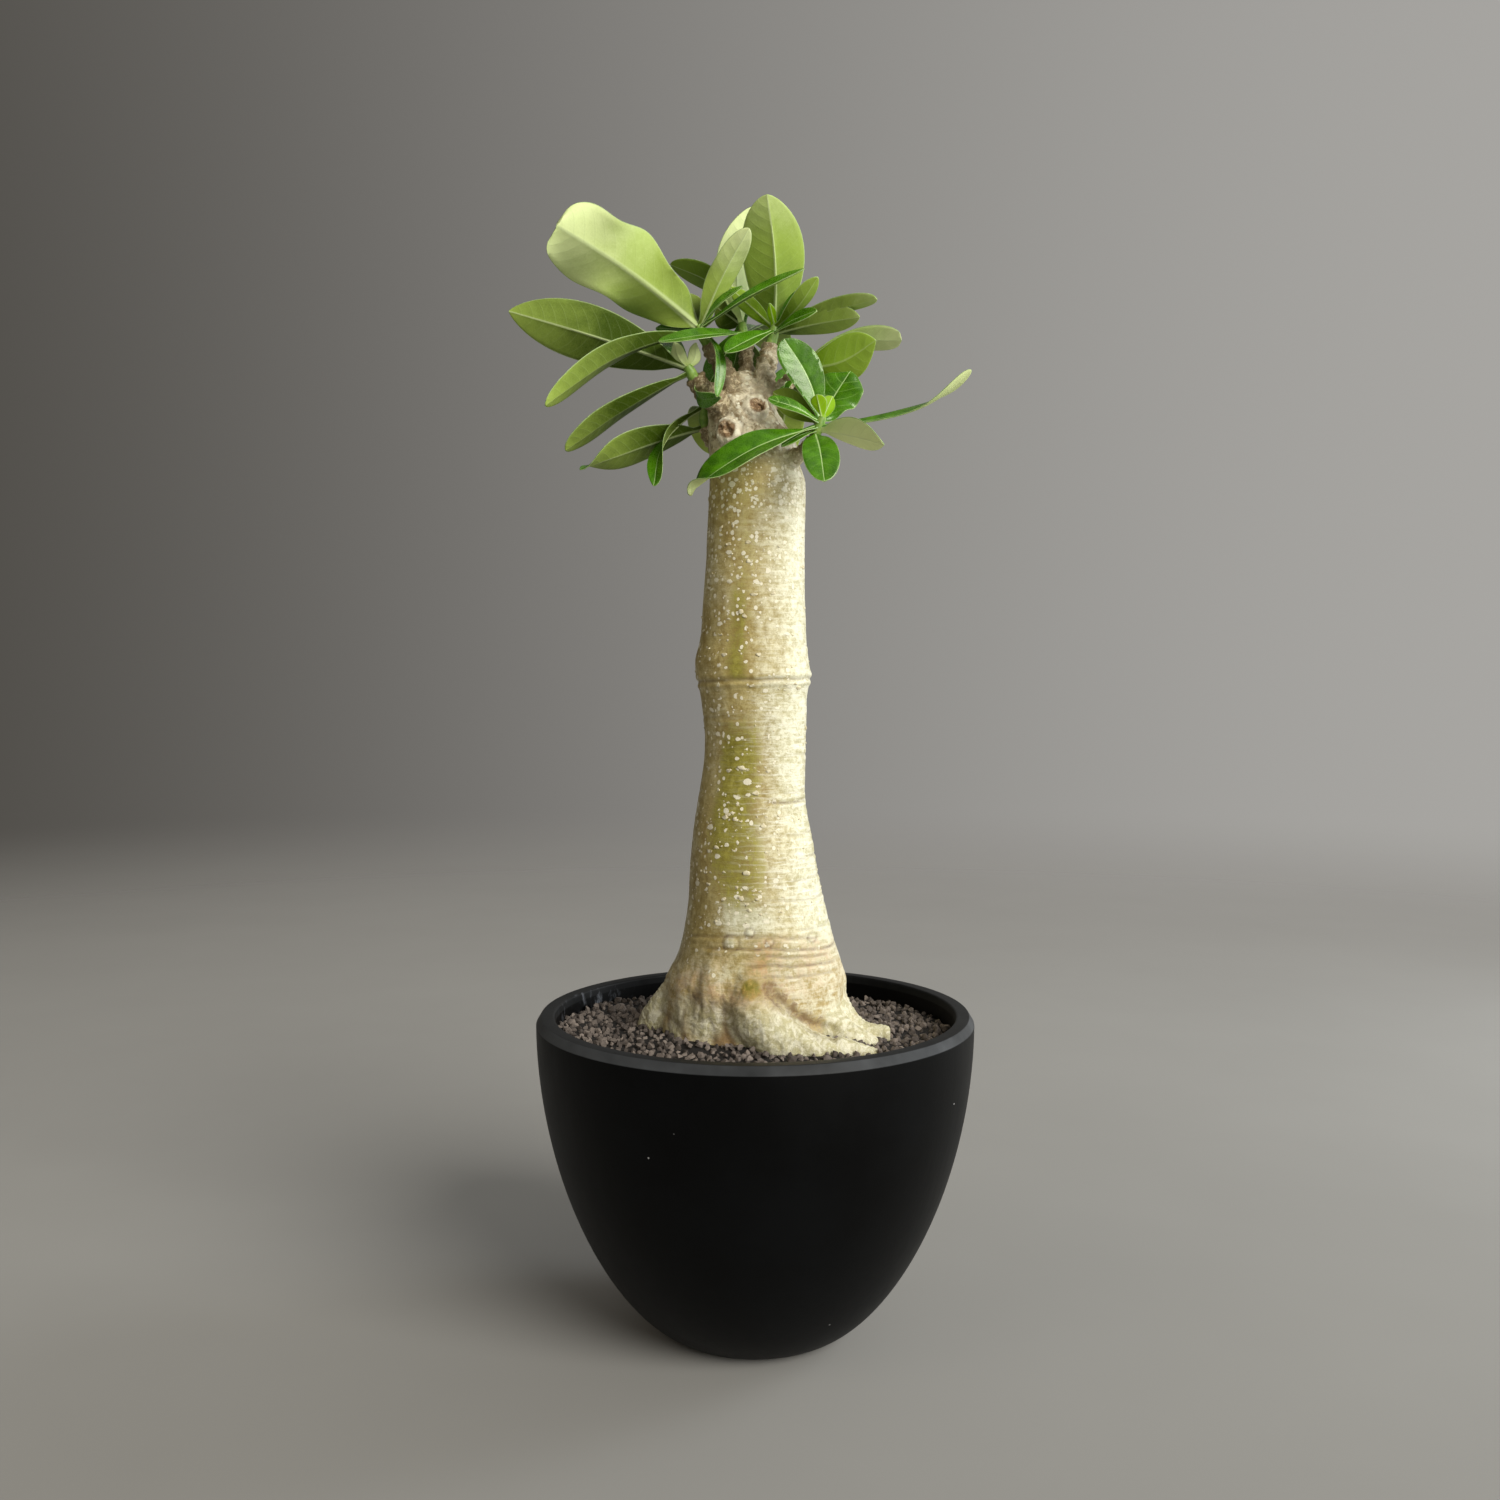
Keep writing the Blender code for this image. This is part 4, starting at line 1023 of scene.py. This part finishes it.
def leafMesh(data, root, number):
    # both faces of a leaf with a rounded rim, and the fields its finish reads
    along = Vector(data["tip"]) - root
    length = along.length
    along.normalize()
    face = Vector(data["faces"])
    face = (face - along * face.dot(along)).normalized()
    side = along.cross(face)
    rows = max(blade["fewestRows"], round(length / blade["rowLength"]))
    halves = blade["halfColumns" if data["width"] > blade["slimWidth"] else "slimColumns"]
    columns = 2 * halves + 1
    top, under, fields, middles = [], [], [], []
    for row in range(rows + 1):
        share = 1 - (1 - row / rows) ** blade["crowding"]
        turn = Matrix.Rotation(math.radians(data["twist"]) * share ** data["late"], 3, along)
        across, lift = turn @ side, turn @ face
        arch = math.sin(math.pi * share)
        middle = root + along * length * share + face * data["bow"] * arch + side * data["sway"] * arch
        middle += along * blade["cusp"] * share ** 24 - face * data["nod"] * share ** 4
        outline = data["width"] / 2 * outlineOf(share, data["form"], data["point"])
        half = max(outline, blade["petioleHalf"] * (1 - share) + blade["tipHalf"])
        petiole = max(0, 1 - share / blade["petioleShare"])
        fold = math.radians(data["fold"]) * (blade["foldFoot"] * (1 - share) + blade["foldTip"] * share)
        rib = blade["ribHalf"] * data["keel"] * (0.45 + data["width"] / 32) * (1 - 0.65 * share)
        for column in range(-halves, halves + 1):
            u = math.copysign(abs(column / halves) ** blade["crowding"], column)
            shift = blade["waveShift"] if u > 0 else 0
            wavy = math.sin(2 * math.pi * (data["waves"] * share + shift) + data["phase"])
            reach = half * (1 + blade["waveReach"] * data["wave"] * wavy * arch)
            away = abs(u) * reach
            raised = abs(u) * math.sin(fold) - data["curl"] * u * u
            centre = middle + (across * u * math.cos(fold) + lift * raised) * reach
            soft = noise.noise(centre * 0.07 + Vector((number * 3.7, 0, 0))) * min(1, half / 6)
            vein = (length * share - half * (0.45 * abs(u) + 0.35 * abs(u) ** 3)) / blade["veinSpacing"]
            puffed = min(1, half / 7) * (1 - petiole) * math.sin(math.pi * min(1, abs(u) * 1.05))
            quilt = -blade["quilt"] * math.cos(2 * math.pi * vein) * puffed
            centre = centre + lift * (data["wave"] * u * u * wavy + blade["ripple"] * soft + quilt)
            ridge = math.exp(-(away / rib) ** 2) * (1 - petiole) * min(1, half / 3)
            thick = blade["thickness"] / 2 * (1 - 0.45 * abs(u) ** 3)
            thick += petiole ** 0.7 * (blade["petioleThickness"] / 2 - thick) * math.sqrt(max(0, 1 - u * u))
            sunk = blade["ribSunk"] * ridge * (1 - share) ** 0.5
            belly = blade["ribRaised"] * ridge * (1 - share) ** 0.6 * min(1, data["rib"])
            top.append(centre + lift * (thick - sunk))
            under.append(centre - lift * (thick + belly))
            middles.append((centre, across * math.copysign(1, u) if column else along))
            fields.append((math.copysign(away, u), length * share, vein, abs(u), data["rib"], share,
                           away / rib))
    count = len(top)
    faces, finish = [], []
    for row in range(rows):
        for column in range(columns - 1):
            a = row * columns + column
            b = a + columns
            faces.append((a, a + 1, b + 1, b))
            faces.append((count + a, count + b, count + b + 1, count + a + 1))
            finish += [topSide, underSide]
    # the rim runs up one margin, over the tip, down the other and across the foot
    border = [row * columns for row in range(rows + 1)]
    border += [rows * columns + column for column in range(1, columns)]
    border += [row * columns + columns - 1 for row in range(rows - 1, -1, -1)]
    border += [column for column in range(columns - 2, 0, -1)]
    rim = []
    for index in border:
        row = index // columns
        out = along if row == rows else -along if row == 0 else middles[index][1].normalized()
        rim.append(middles[index][0] + out * blade["rimOut"])
        fields.append(fields[index][:3] + (1.05,) + fields[index][4:])
    for place, index in enumerate(border):
        after = (place + 1) % len(border)
        here, there = 2 * count + place, 2 * count + after
        faces.append((index, border[after], there, here))
        faces.append((here, there, count + border[after], count + index))
        finish += [leafRim, leafRim]
    points = np.array([tuple(p) for p in top + under + rim])
    values = np.array(fields)
    return points, faces, finish, np.concatenate((values[:count], values[:count], values[count:]))


def makeShoot(name, shoot, materials, seed):
    random.seed(seed)
    stem, *leaves = shoot
    pieces = []
    for number, data in enumerate(leaves):
        tone = (data["shade"], data["young"], random.random() * 50)
        pieces.append((*leafMesh(data, belowTop(stem, data["low"]), seed * 20 + number), tone))
    skin = limb(name, stem, sides=6, finer=6)
    points = pointsOf(skin)
    pieces.append((points, [tuple(polygon.vertices) for polygon in skin.polygons],
                   [greenStem] * len(skin.polygons), np.zeros((len(points), 7)), (0, 0, 0)))
    start, allFaces, allFinish, tones = 0, [], [], []
    for points, faces, finish, _, tone in pieces:
        allFaces += [tuple(index + start for index in face) for face in faces]
        allFinish += finish
        tones.append(np.tile(tone, (len(points), 1)))
        start += len(points)
    points, values = [np.concatenate([piece[part] for piece in pieces]) for part in (0, 3)]
    mesh = bpy.data.meshes.new(name + "_leaves")
    mesh.from_pydata(points * mm, [], allFaces)
    mesh.polygons.foreach_set("material_index", allFinish)
    across, along, vein, edge, rib, share, ribAway = values.T
    shade, young, luck = np.concatenate(tones).T
    setFields(mesh, leafPlace=(across, along, luck), leafVein=(vein, edge, rib),
              leafTone=(shade, young, share), leafRib=ribAway)
    for material in materials:
        mesh.materials.append(material)
    facedOut(mesh)
    shadeBy(mesh, 55)
    return addObject(name + "_leaves", mesh)


# Finishes

def potFinish():
    made, tree = newMaterial("blackPot", Roughness=0.42, IOR=1.3, Specular_IOR_Level=0.25)
    place = objectPlace(tree)
    height = partsOf(place)["Z"]
    outward = vectorSum("LENGTH", objectPlace(tree, (1, 1, 0)))
    cloud = grain(place, 22, 4, 0.6)
    scuffs = grain(objectPlace(tree, (1, 1, 0.16)), 260, 3, 0.7)
    # the rim is greyed: dust over its top, and on the outer bevel more grey that is a painted highlight as
    # well as dust
    rimDustAndSheen = times(rise(height, 0.1217, 0.1221), plus(rise(outward, 0.0829, 0.0832, 0.75), 0.25))
    # lime marks on the inner wall, left and behind
    limed = times(rise(vectorSum("DISTANCE", place, (-0.062, 0.03, 0.121)), 0.034, 0.012),
                  rise(outward, 0.0795, 0.0775))
    lime = rise(grain(objectPlace(tree, (1, 1, 0.5)), 240, 4, 0.7), 0.55, 0.72, 0.5)
    # a few white specks
    spots = cells(place, 110)
    chosen = rise(partsOf(spots["Color"], "Color")[0], 0.955, 0.96)
    base = coated(
        blend(rise(cloud, 0.3, 0.75), (0.0008, 0.0009, 0.001), (0.0022, 0.0026, 0.003)),
        (times(rimDustAndSheen, rise(cloud, 0.1, 0.8)), (0.09, 0.096, 0.103)),
        (times(lime, limed), (0.24, 0.26, 0.3)),
        (times(rise(spots["Distance"], 0.055, 0.03), chosen), (0.42, 0.42, 0.42)),
        (times(rise(height, 0.004, 0.0005), rise(scuffs, 0.5, 0.7, 0.6)), (0.07, 0.07, 0.07)))
    gloss = plus(plus(times(cloud, 0.18), 0.34), times(scuffs, 0.08))
    skin = bumped((scuffs, 0.05, 0.0003), (grain(place, 900, 2), 0.12, 0.0002))
    return wire(made, Base_Color=base, Roughness=gloss, Normal=skin)


def flakesOn(tree, stretch, scale, chance, ragged):
    # 1 on ragged flakes, one in each chosen cell
    spots = cells(objectPlace(tree, stretch), scale)
    luck = partsOf(spots["Color"], "Color")
    size = scaled(sums("POWER", luck[1], 2.0), 0.26, 0.2)
    distance = plus(spots["Distance"], scaled(ragged, 0.9, -0.45))
    inside = rise(sums("SUBTRACT", size, distance), -0.02, 0.04)
    return times(inside, rise(sums("SUBTRACT", chance, luck[0]), 0.0, 0.03))


def barkFinish():
    made, tree = newMaterial("bark", Roughness=0.5, IOR=1.42)
    olive, pale, rough = fieldParts(tree, "barkTone")
    creaseShade, warm, root = fieldParts(tree, "barkMark")
    speck, head, streakAndSheen = fieldParts(tree, "barkPlace")
    stain, scar, foot = fieldParts(tree, "barkWound")
    place = objectPlace(tree)
    cloud = grain(objectPlace(tree, (1, 1, 0.45)), 60, 5, 0.65, 0.5)
    mottle = grain(place, 330, 5, 0.75, 0.4)
    lines = grain(objectPlace(tree, (0.5, 0.5, 4.5)), 210, 5, 0.7, 0.5)
    fibres = grain(objectPlace(tree, (1, 1, 0.12)), 380, 4, 0.65)
    fine = grain(place, 1500, 3, 0.7)
    uneven = scaled(mottle, 0.5, scaled(fibres, 0.25, times(cloud, 0.25)))
    weave = scaled(mottle, 0.66, times(lines, 0.34))

    # khaki where the bark is darker, greenish cream where it is paler; the paleness holds painted light, so
    # the lit side comes out cream and the shaded side khaki
    khaki = blend(rise(uneven, 0.38, 0.62), (0.36, 0.265, 0.08), (0.62, 0.52, 0.22))
    dull = blend(foot, (0.56, 0.53, 0.31), (0.55, 0.41, 0.17))
    cream = blend(rise(weave, 0.36, 0.60), dull, (0.90, 0.89, 0.70))
    paleness = plus(pale, scaled(weave, 1.3, -0.65))
    greens = blend(rise(uneven, 0.38, 0.62), (0.20, 0.175, 0.012), (0.42, 0.375, 0.075))
    greenness = times(rise(plus(olive, scaled(uneven, 3.0, -1.5)), 0.15, 0.9), rise(olive, 0.0, 0.4))
    # silvery streaks between the fine level lines of the lit side: partly the bark's pale skin, partly a
    # painted sheen
    silverAndSheen = times(streakAndSheen, rise(lines, 0.5, 0.62, 0.85))
    orange = times(warm, rise(uneven, 0.4, 0.6, 0.85))
    browned = times(rise(plus(stain, scaled(mottle, 2.4, -1.2)), 0.2, 0.8, 0.85), rise(stain, 0.02, 0.4))
    gnarl = rise(grain(place, 260, 5, 0.75, 1.0), 0.42, 0.6)
    # the head is mottled brown and cream, the stubs are browner with pale flakes
    blotch = rise(grain(place, 180, 5, 0.7, 0.9), 0.38, 0.55)
    headTone = blend(streakAndSheen, blend(blotch, (0.30, 0.21, 0.10), (0.86, 0.77, 0.57)), (0.90, 0.83, 0.66))
    flakes = rise(grain(place, 520, 4, 0.75, 0.8), 0.50, 0.60)
    base = coated(
        blend(rise(paleness, 0.05, 0.95), khaki, cream), (greenness, greens),
        (silverAndSheen, (0.90, 0.89, 0.74)), (orange, (0.58, 0.32, 0.12)), (browned, (0.27, 0.16, 0.06)),
        (times(root, 0.8), blend(gnarl, (0.56, 0.53, 0.31), (0.90, 0.88, 0.70))),
        (times(head, 0.92), headTone),
        (rough, blend(flakes, (0.23, 0.165, 0.08), (0.66, 0.56, 0.36))),
        (scar, blend(flakes, (0.27, 0.16, 0.075), (0.68, 0.51, 0.32))))
    # cream flakes that join into a lace where speck is high
    specks = sums("MAXIMUM", flakesOn(tree, (1, 1, 1.4), 270, speck, mottle),
                  flakesOn(tree, (1.2, 1.2, 1), 480, speck, mottle))
    specks = times(specks, sums("SUBTRACT", 1.0, sums("MAXIMUM", rough, scar)))
    worn = blend(1.0, base, (0.70, 0.64, 0.5), "MULTIPLY")
    # fine wear, cream specks, then painted shade darkening the creases
    base = coated(base, (rise(fine, 0.45, 0.62, 0.25), worn), (times(specks, 0.95), (0.93, 0.88, 0.69)),
                  (times(creaseShade, rise(mottle, 0.3, 0.6, 0.9)), (0.15, 0.09, 0.04)))
    gloss = scaled(mottle, 0.3, scaled(rough, 0.25, 0.28))
    crisp = scaled(sums("MAXIMUM", foot, head), 0.5, 0.3)
    skin = bumped((lines, 0.2, 0.0007), (mottle, crisp, 0.0009), (specks, 0.5, 0.0004), (fine, 0.35, 0.0003))
    return wire(made, Base_Color=base, Roughness=gloss, Normal=skin)


def mottledFinish(name, dark, light, scale, rough, strength, **sockets):
    made, tree = newMaterial(name, **sockets)
    mottle = grain(objectPlace(tree), scale, 3, rough)
    base = blend(rise(mottle, 0.3, 0.7), dark, light)
    return wire(made, Base_Color=base, Normal=bumped((mottle, strength, 0.0003)))


def grainFinish(name, dark, light):
    made, tree = newMaterial(name, Roughness=0.9)
    mottle = grain(objectPlace(tree), 900, 4, 0.7)
    mixed = plus(times(fieldOf(tree, "grainTone"), 0.7), times(mottle, 0.5))
    base = blend(rise(mixed, 0.1, 1.1), dark, light)
    return wire(made, Base_Color=base, Normal=bumped((mottle, 0.7, 0.0004)))


def veinLines(vein, edge, narrow):
    # 1 on the side veins, fading to the margin
    return times(rise(sums("PINGPONG", vein, 0.5), narrow, narrow * 0.3), rise(edge, 1.0, 0.7))


def midrib(rib, widest):
    # 1 on the midrib; leafRib is the distance from it in half widths of the raised rib
    away = fieldOf(rib.id_data, "leafRib")
    return times(rise(away, widest * 1.25, widest * 0.6), sums("MINIMUM", rib, 1.0))


def leafTopFinish():
    made, tree = newMaterial("leafTop", Roughness=0.3, IOR=1.5, Specular_IOR_Level=0.75,
                             Specular_Tint=(0.92, 1, 0.8, 1))
    vein, edge, rib = fieldParts(tree, "leafVein")
    young = fieldParts(tree, "leafTone")[1]
    spot = fieldOf(tree, "leafPlace", "Vector")
    fine = grain(spot, 2.2, 3, 0.6)
    netting = cells(spot, 1.1, "DISTANCE_TO_EDGE")["Distance"]
    veins = veinLines(vein, edge, 0.05)
    # the young coat is the yellow-green of young leaves, and on some older leaves a painted glow of light
    # coming through
    base = coated(
        blend(rise(grain(spot, 0.16, 3, 0.6), 0.3, 0.7), (0.032, 0.125, 0.001), (0.085, 0.26, 0.003)),
        (rise(netting, 0.09, 0.02, 0.2), (0.14, 0.34, 0.012)), (young, (0.24, 0.50, 0.004)),
        (times(veins, rise(rib, 0.9, 2.4, 0.6)), (0.36, 0.60, 0.15)),
        (times(midrib(rib, 0.55), 0.85), (0.52, 0.72, 0.30)),
        (rise(edge, 0.975, 1.0, 0.4), (0.30, 0.46, 0.16)))
    skin = bumped((veins, -0.2, 0.0003), (netting, 0.12, 0.0004), (fine, 0.12, 0.0003))
    return wire(made, Base_Color=base, Roughness=scaled(fine, 0.16, 0.2), Normal=skin)


def leafUnderFinish():
    made, tree = newMaterial("leafUnder", Roughness=0.5, IOR=1.4, Specular_IOR_Level=0.25)
    vein, edge, rib = fieldParts(tree, "leafVein")
    tone, young, share = fieldParts(tree, "leafTone")
    spot = fieldOf(tree, "leafPlace", "Vector")
    fine = grain(spot, 1.2, 5, 0.75)
    netting = cells(spot, 1.3, "DISTANCE_TO_EDGE")["Distance"]
    veins = veinLines(vein, edge, 0.09)
    # painted light: each leaf's shade sets how lit its underside looks; it is darker and greener towards the
    # foot and paler towards the tip, where light comes through
    shade = plus(tone, scaled(share, 1.6, -0.8))
    shade = plus(shade, scaled(grain(spot, 0.09, 3, 0.6), 0.6, -0.3))
    shade = plus(shade, scaled(fine, 0.4, -0.2))
    base = blend(sums("MAXIMUM", shade, 0.0), (0.052, 0.095, 0.002), (0.38, 0.52, 0.09))
    base = blend(rise(shade, 0.9, 2.1), base, (0.85, 0.97, 0.47))
    netted = blend(0.35, base, (0.5, 0.6, 0.3))
    # the young coat is the yellow-green of young leaves, and on some older leaves a painted glow of light
    # coming through
    base = coated(base, (rise(netting, 0.1, 0.02, 0.12), netted), (young, (0.26, 0.48, 0.004)),
                  (times(veins, 0.07), (0.46, 0.58, 0.24)))
    ribTone = blend(0.6, base, (0.70, 0.82, 0.42))
    base = coated(base, (times(midrib(rib, 0.9), 0.9), ribTone),
                  (rise(edge, 0.97, 1.0, 0.5), (0.56, 0.68, 0.32)))
    skin = bumped((veins, 0.12, 0.0003), (fine, 0.2, 0.0003))
    return wire(made, Base_Color=base, Roughness=scaled(fine, 0.2, 0.4), Normal=skin)


# Stage, light and camera

studio = dict(
    camera=(-2, -563, 254), pitch=2.75, lens=34.8, sensor=36,
    window=dict(towards=(0.62, -0.70, 0.48), angle=38, strength=3.0, colour=(1, 0.97, 0.90)),
    panel=dict(place=(0.95, 0.3, 0.5), size=(0.35, 0.6), power=4, colour=(0.93, 0.97, 1)),
    fill=dict(place=(-1.1, -0.8, 1.0), size=(1.0, 1.0), power=2.2, colour=(1, 0.88, 0.70)),
    aim=(0, 0, 0.25), skyLeft=(0.055, 0.05, 0.042), skyRight=(0.40, 0.39, 0.37), skyReach=(-0.7, 0.6),
    floorRadius=9.0, floorFade=(0.3, 2.4), floorDark=(0.33, 0.325, 0.31), floorLight=(0.37, 0.365, 0.35),
)


def addLight(name, kind, look, power, colour, place=(0, 0, 0), **settings):
    data = bpy.data.lights.new(name, kind)
    data.energy = power
    data.color = colour
    for setting, value in settings.items():
        setattr(data, setting, value)
    lamp = addObject(name, data)
    lamp.location = place
    lamp.rotation_euler = Vector(look).to_track_quat("-Z", "Y").to_euler()


def addPanel(name):
    place, (width, height), power, colour = studio[name].values()
    look = Vector(studio["aim"]) - Vector(place)
    addLight(name, "AREA", look, power, colour, place, shape="RECTANGLE", size=width, size_y=height)


def setStage():
    scene = bpy.context.scene
    bm = bmesh.new()
    bmesh.ops.create_circle(bm, cap_ends=True, segments=96, radius=studio["floorRadius"])
    floor = addObject("floor", meshFrom(bm, "floor"))
    made, tree = newMaterial("paleFloor", Roughness=0.9)
    tone = grain(objectPlace(tree), 6, 3)
    away = vectorSum("LENGTH", objectPlace(tree))
    # the floor fades out with distance, so that no horizon shows
    wire(made, Base_Color=blend(tone, studio["floorDark"], studio["floorLight"]),
         Alpha=rise(away, studio["floorFade"][1], studio["floorFade"][0]))
    floor.data.materials.append(made)
    towards, angle, strength, colour = studio["window"].values()
    addLight("window", "SUN", -Vector(towards), strength, colour, angle=math.radians(angle))
    addPanel("panel")
    addPanel("fill")
    world = bpy.data.worlds.new("studio")
    world.use_nodes = True
    # the room is dark at the left and light at the right
    tree = world.node_tree
    way = addNode(tree, "ShaderNodeTexCoord").outputs["Generated"]
    sideways = rise(partsOf(way)["X"], *studio["skyReach"])
    glow = blend(sideways, studio["skyLeft"], studio["skyRight"])
    tree.links.new(glow, tree.nodes["Background"].inputs["Color"])
    scene.world = world
    data = bpy.data.cameras.new("camera")
    data.lens = studio["lens"]
    data.sensor_width = studio["sensor"]
    data.clip_start = 0.01
    camera = addObject("camera", data)
    camera.location = Vector(studio["camera"]) * mm
    camera.rotation_euler = (math.radians(90 - studio["pitch"]), 0, 0)
    scene.camera = camera
    scene.view_settings.view_transform = "Standard"


# Making

def placed(piece, slot, *nodes):
    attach(piece, "root")
    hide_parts(*nodes)
    return piece


setStage()
print("stage set")
placed(makePot(potFinish()), "pot", "pot")
print("pot turned")
trunkPiece = placed(makeTrunk(barkFinish()), "bark", "trunk_and_roots")
print("trunk grown, %d faces" % len(trunkPiece.data.polygons))
lenticelMaterial = mottledFinish("lenticels", (0.62, 0.54, 0.34), (0.84, 0.79, 0.58), 700, 0.7, 0.4,
                                 Roughness=0.7)
placed(makeLenticels(trunkPiece, lenticelMaterial), "bark", "trunk_and_roots")
print("lenticels scattered")
bedMaterial = grainFinish("gravelBed", (0.012, 0.010, 0.009), (0.03, 0.025, 0.021))
placed(makeBed(bedMaterial), "gravel", "soil")
grainMaterial = grainFinish("gravelGrains", (0.055, 0.044, 0.038), (0.235, 0.195, 0.168))
grains = placed(makeGrains(trunkPiece, grainMaterial), "gravel", "soil")
print("gravel poured, %d faces" % len(grains.data.polygons))
soft = dict(scale=500, rough=0.6, strength=0.2, Roughness=0.45, Subsurface_Weight=0.15,
            Subsurface_Radius=(0.6, 1, 0.2), Subsurface_Scale=0.002)
leafMaterials = (leafTopFinish(), leafUnderFinish(),
                 mottledFinish("leafRim", (0.25, 0.38, 0.12), (0.40, 0.54, 0.22), **soft),
                 mottledFinish("youngStem", (0.16, 0.32, 0.04), (0.30, 0.46, 0.09), **soft))
for number, (name, shoot) in enumerate(shoots.items()):
    placed(makeShoot(name, shoot, leafMaterials, number + 1), "foliage", name)
print("shoots leafed")
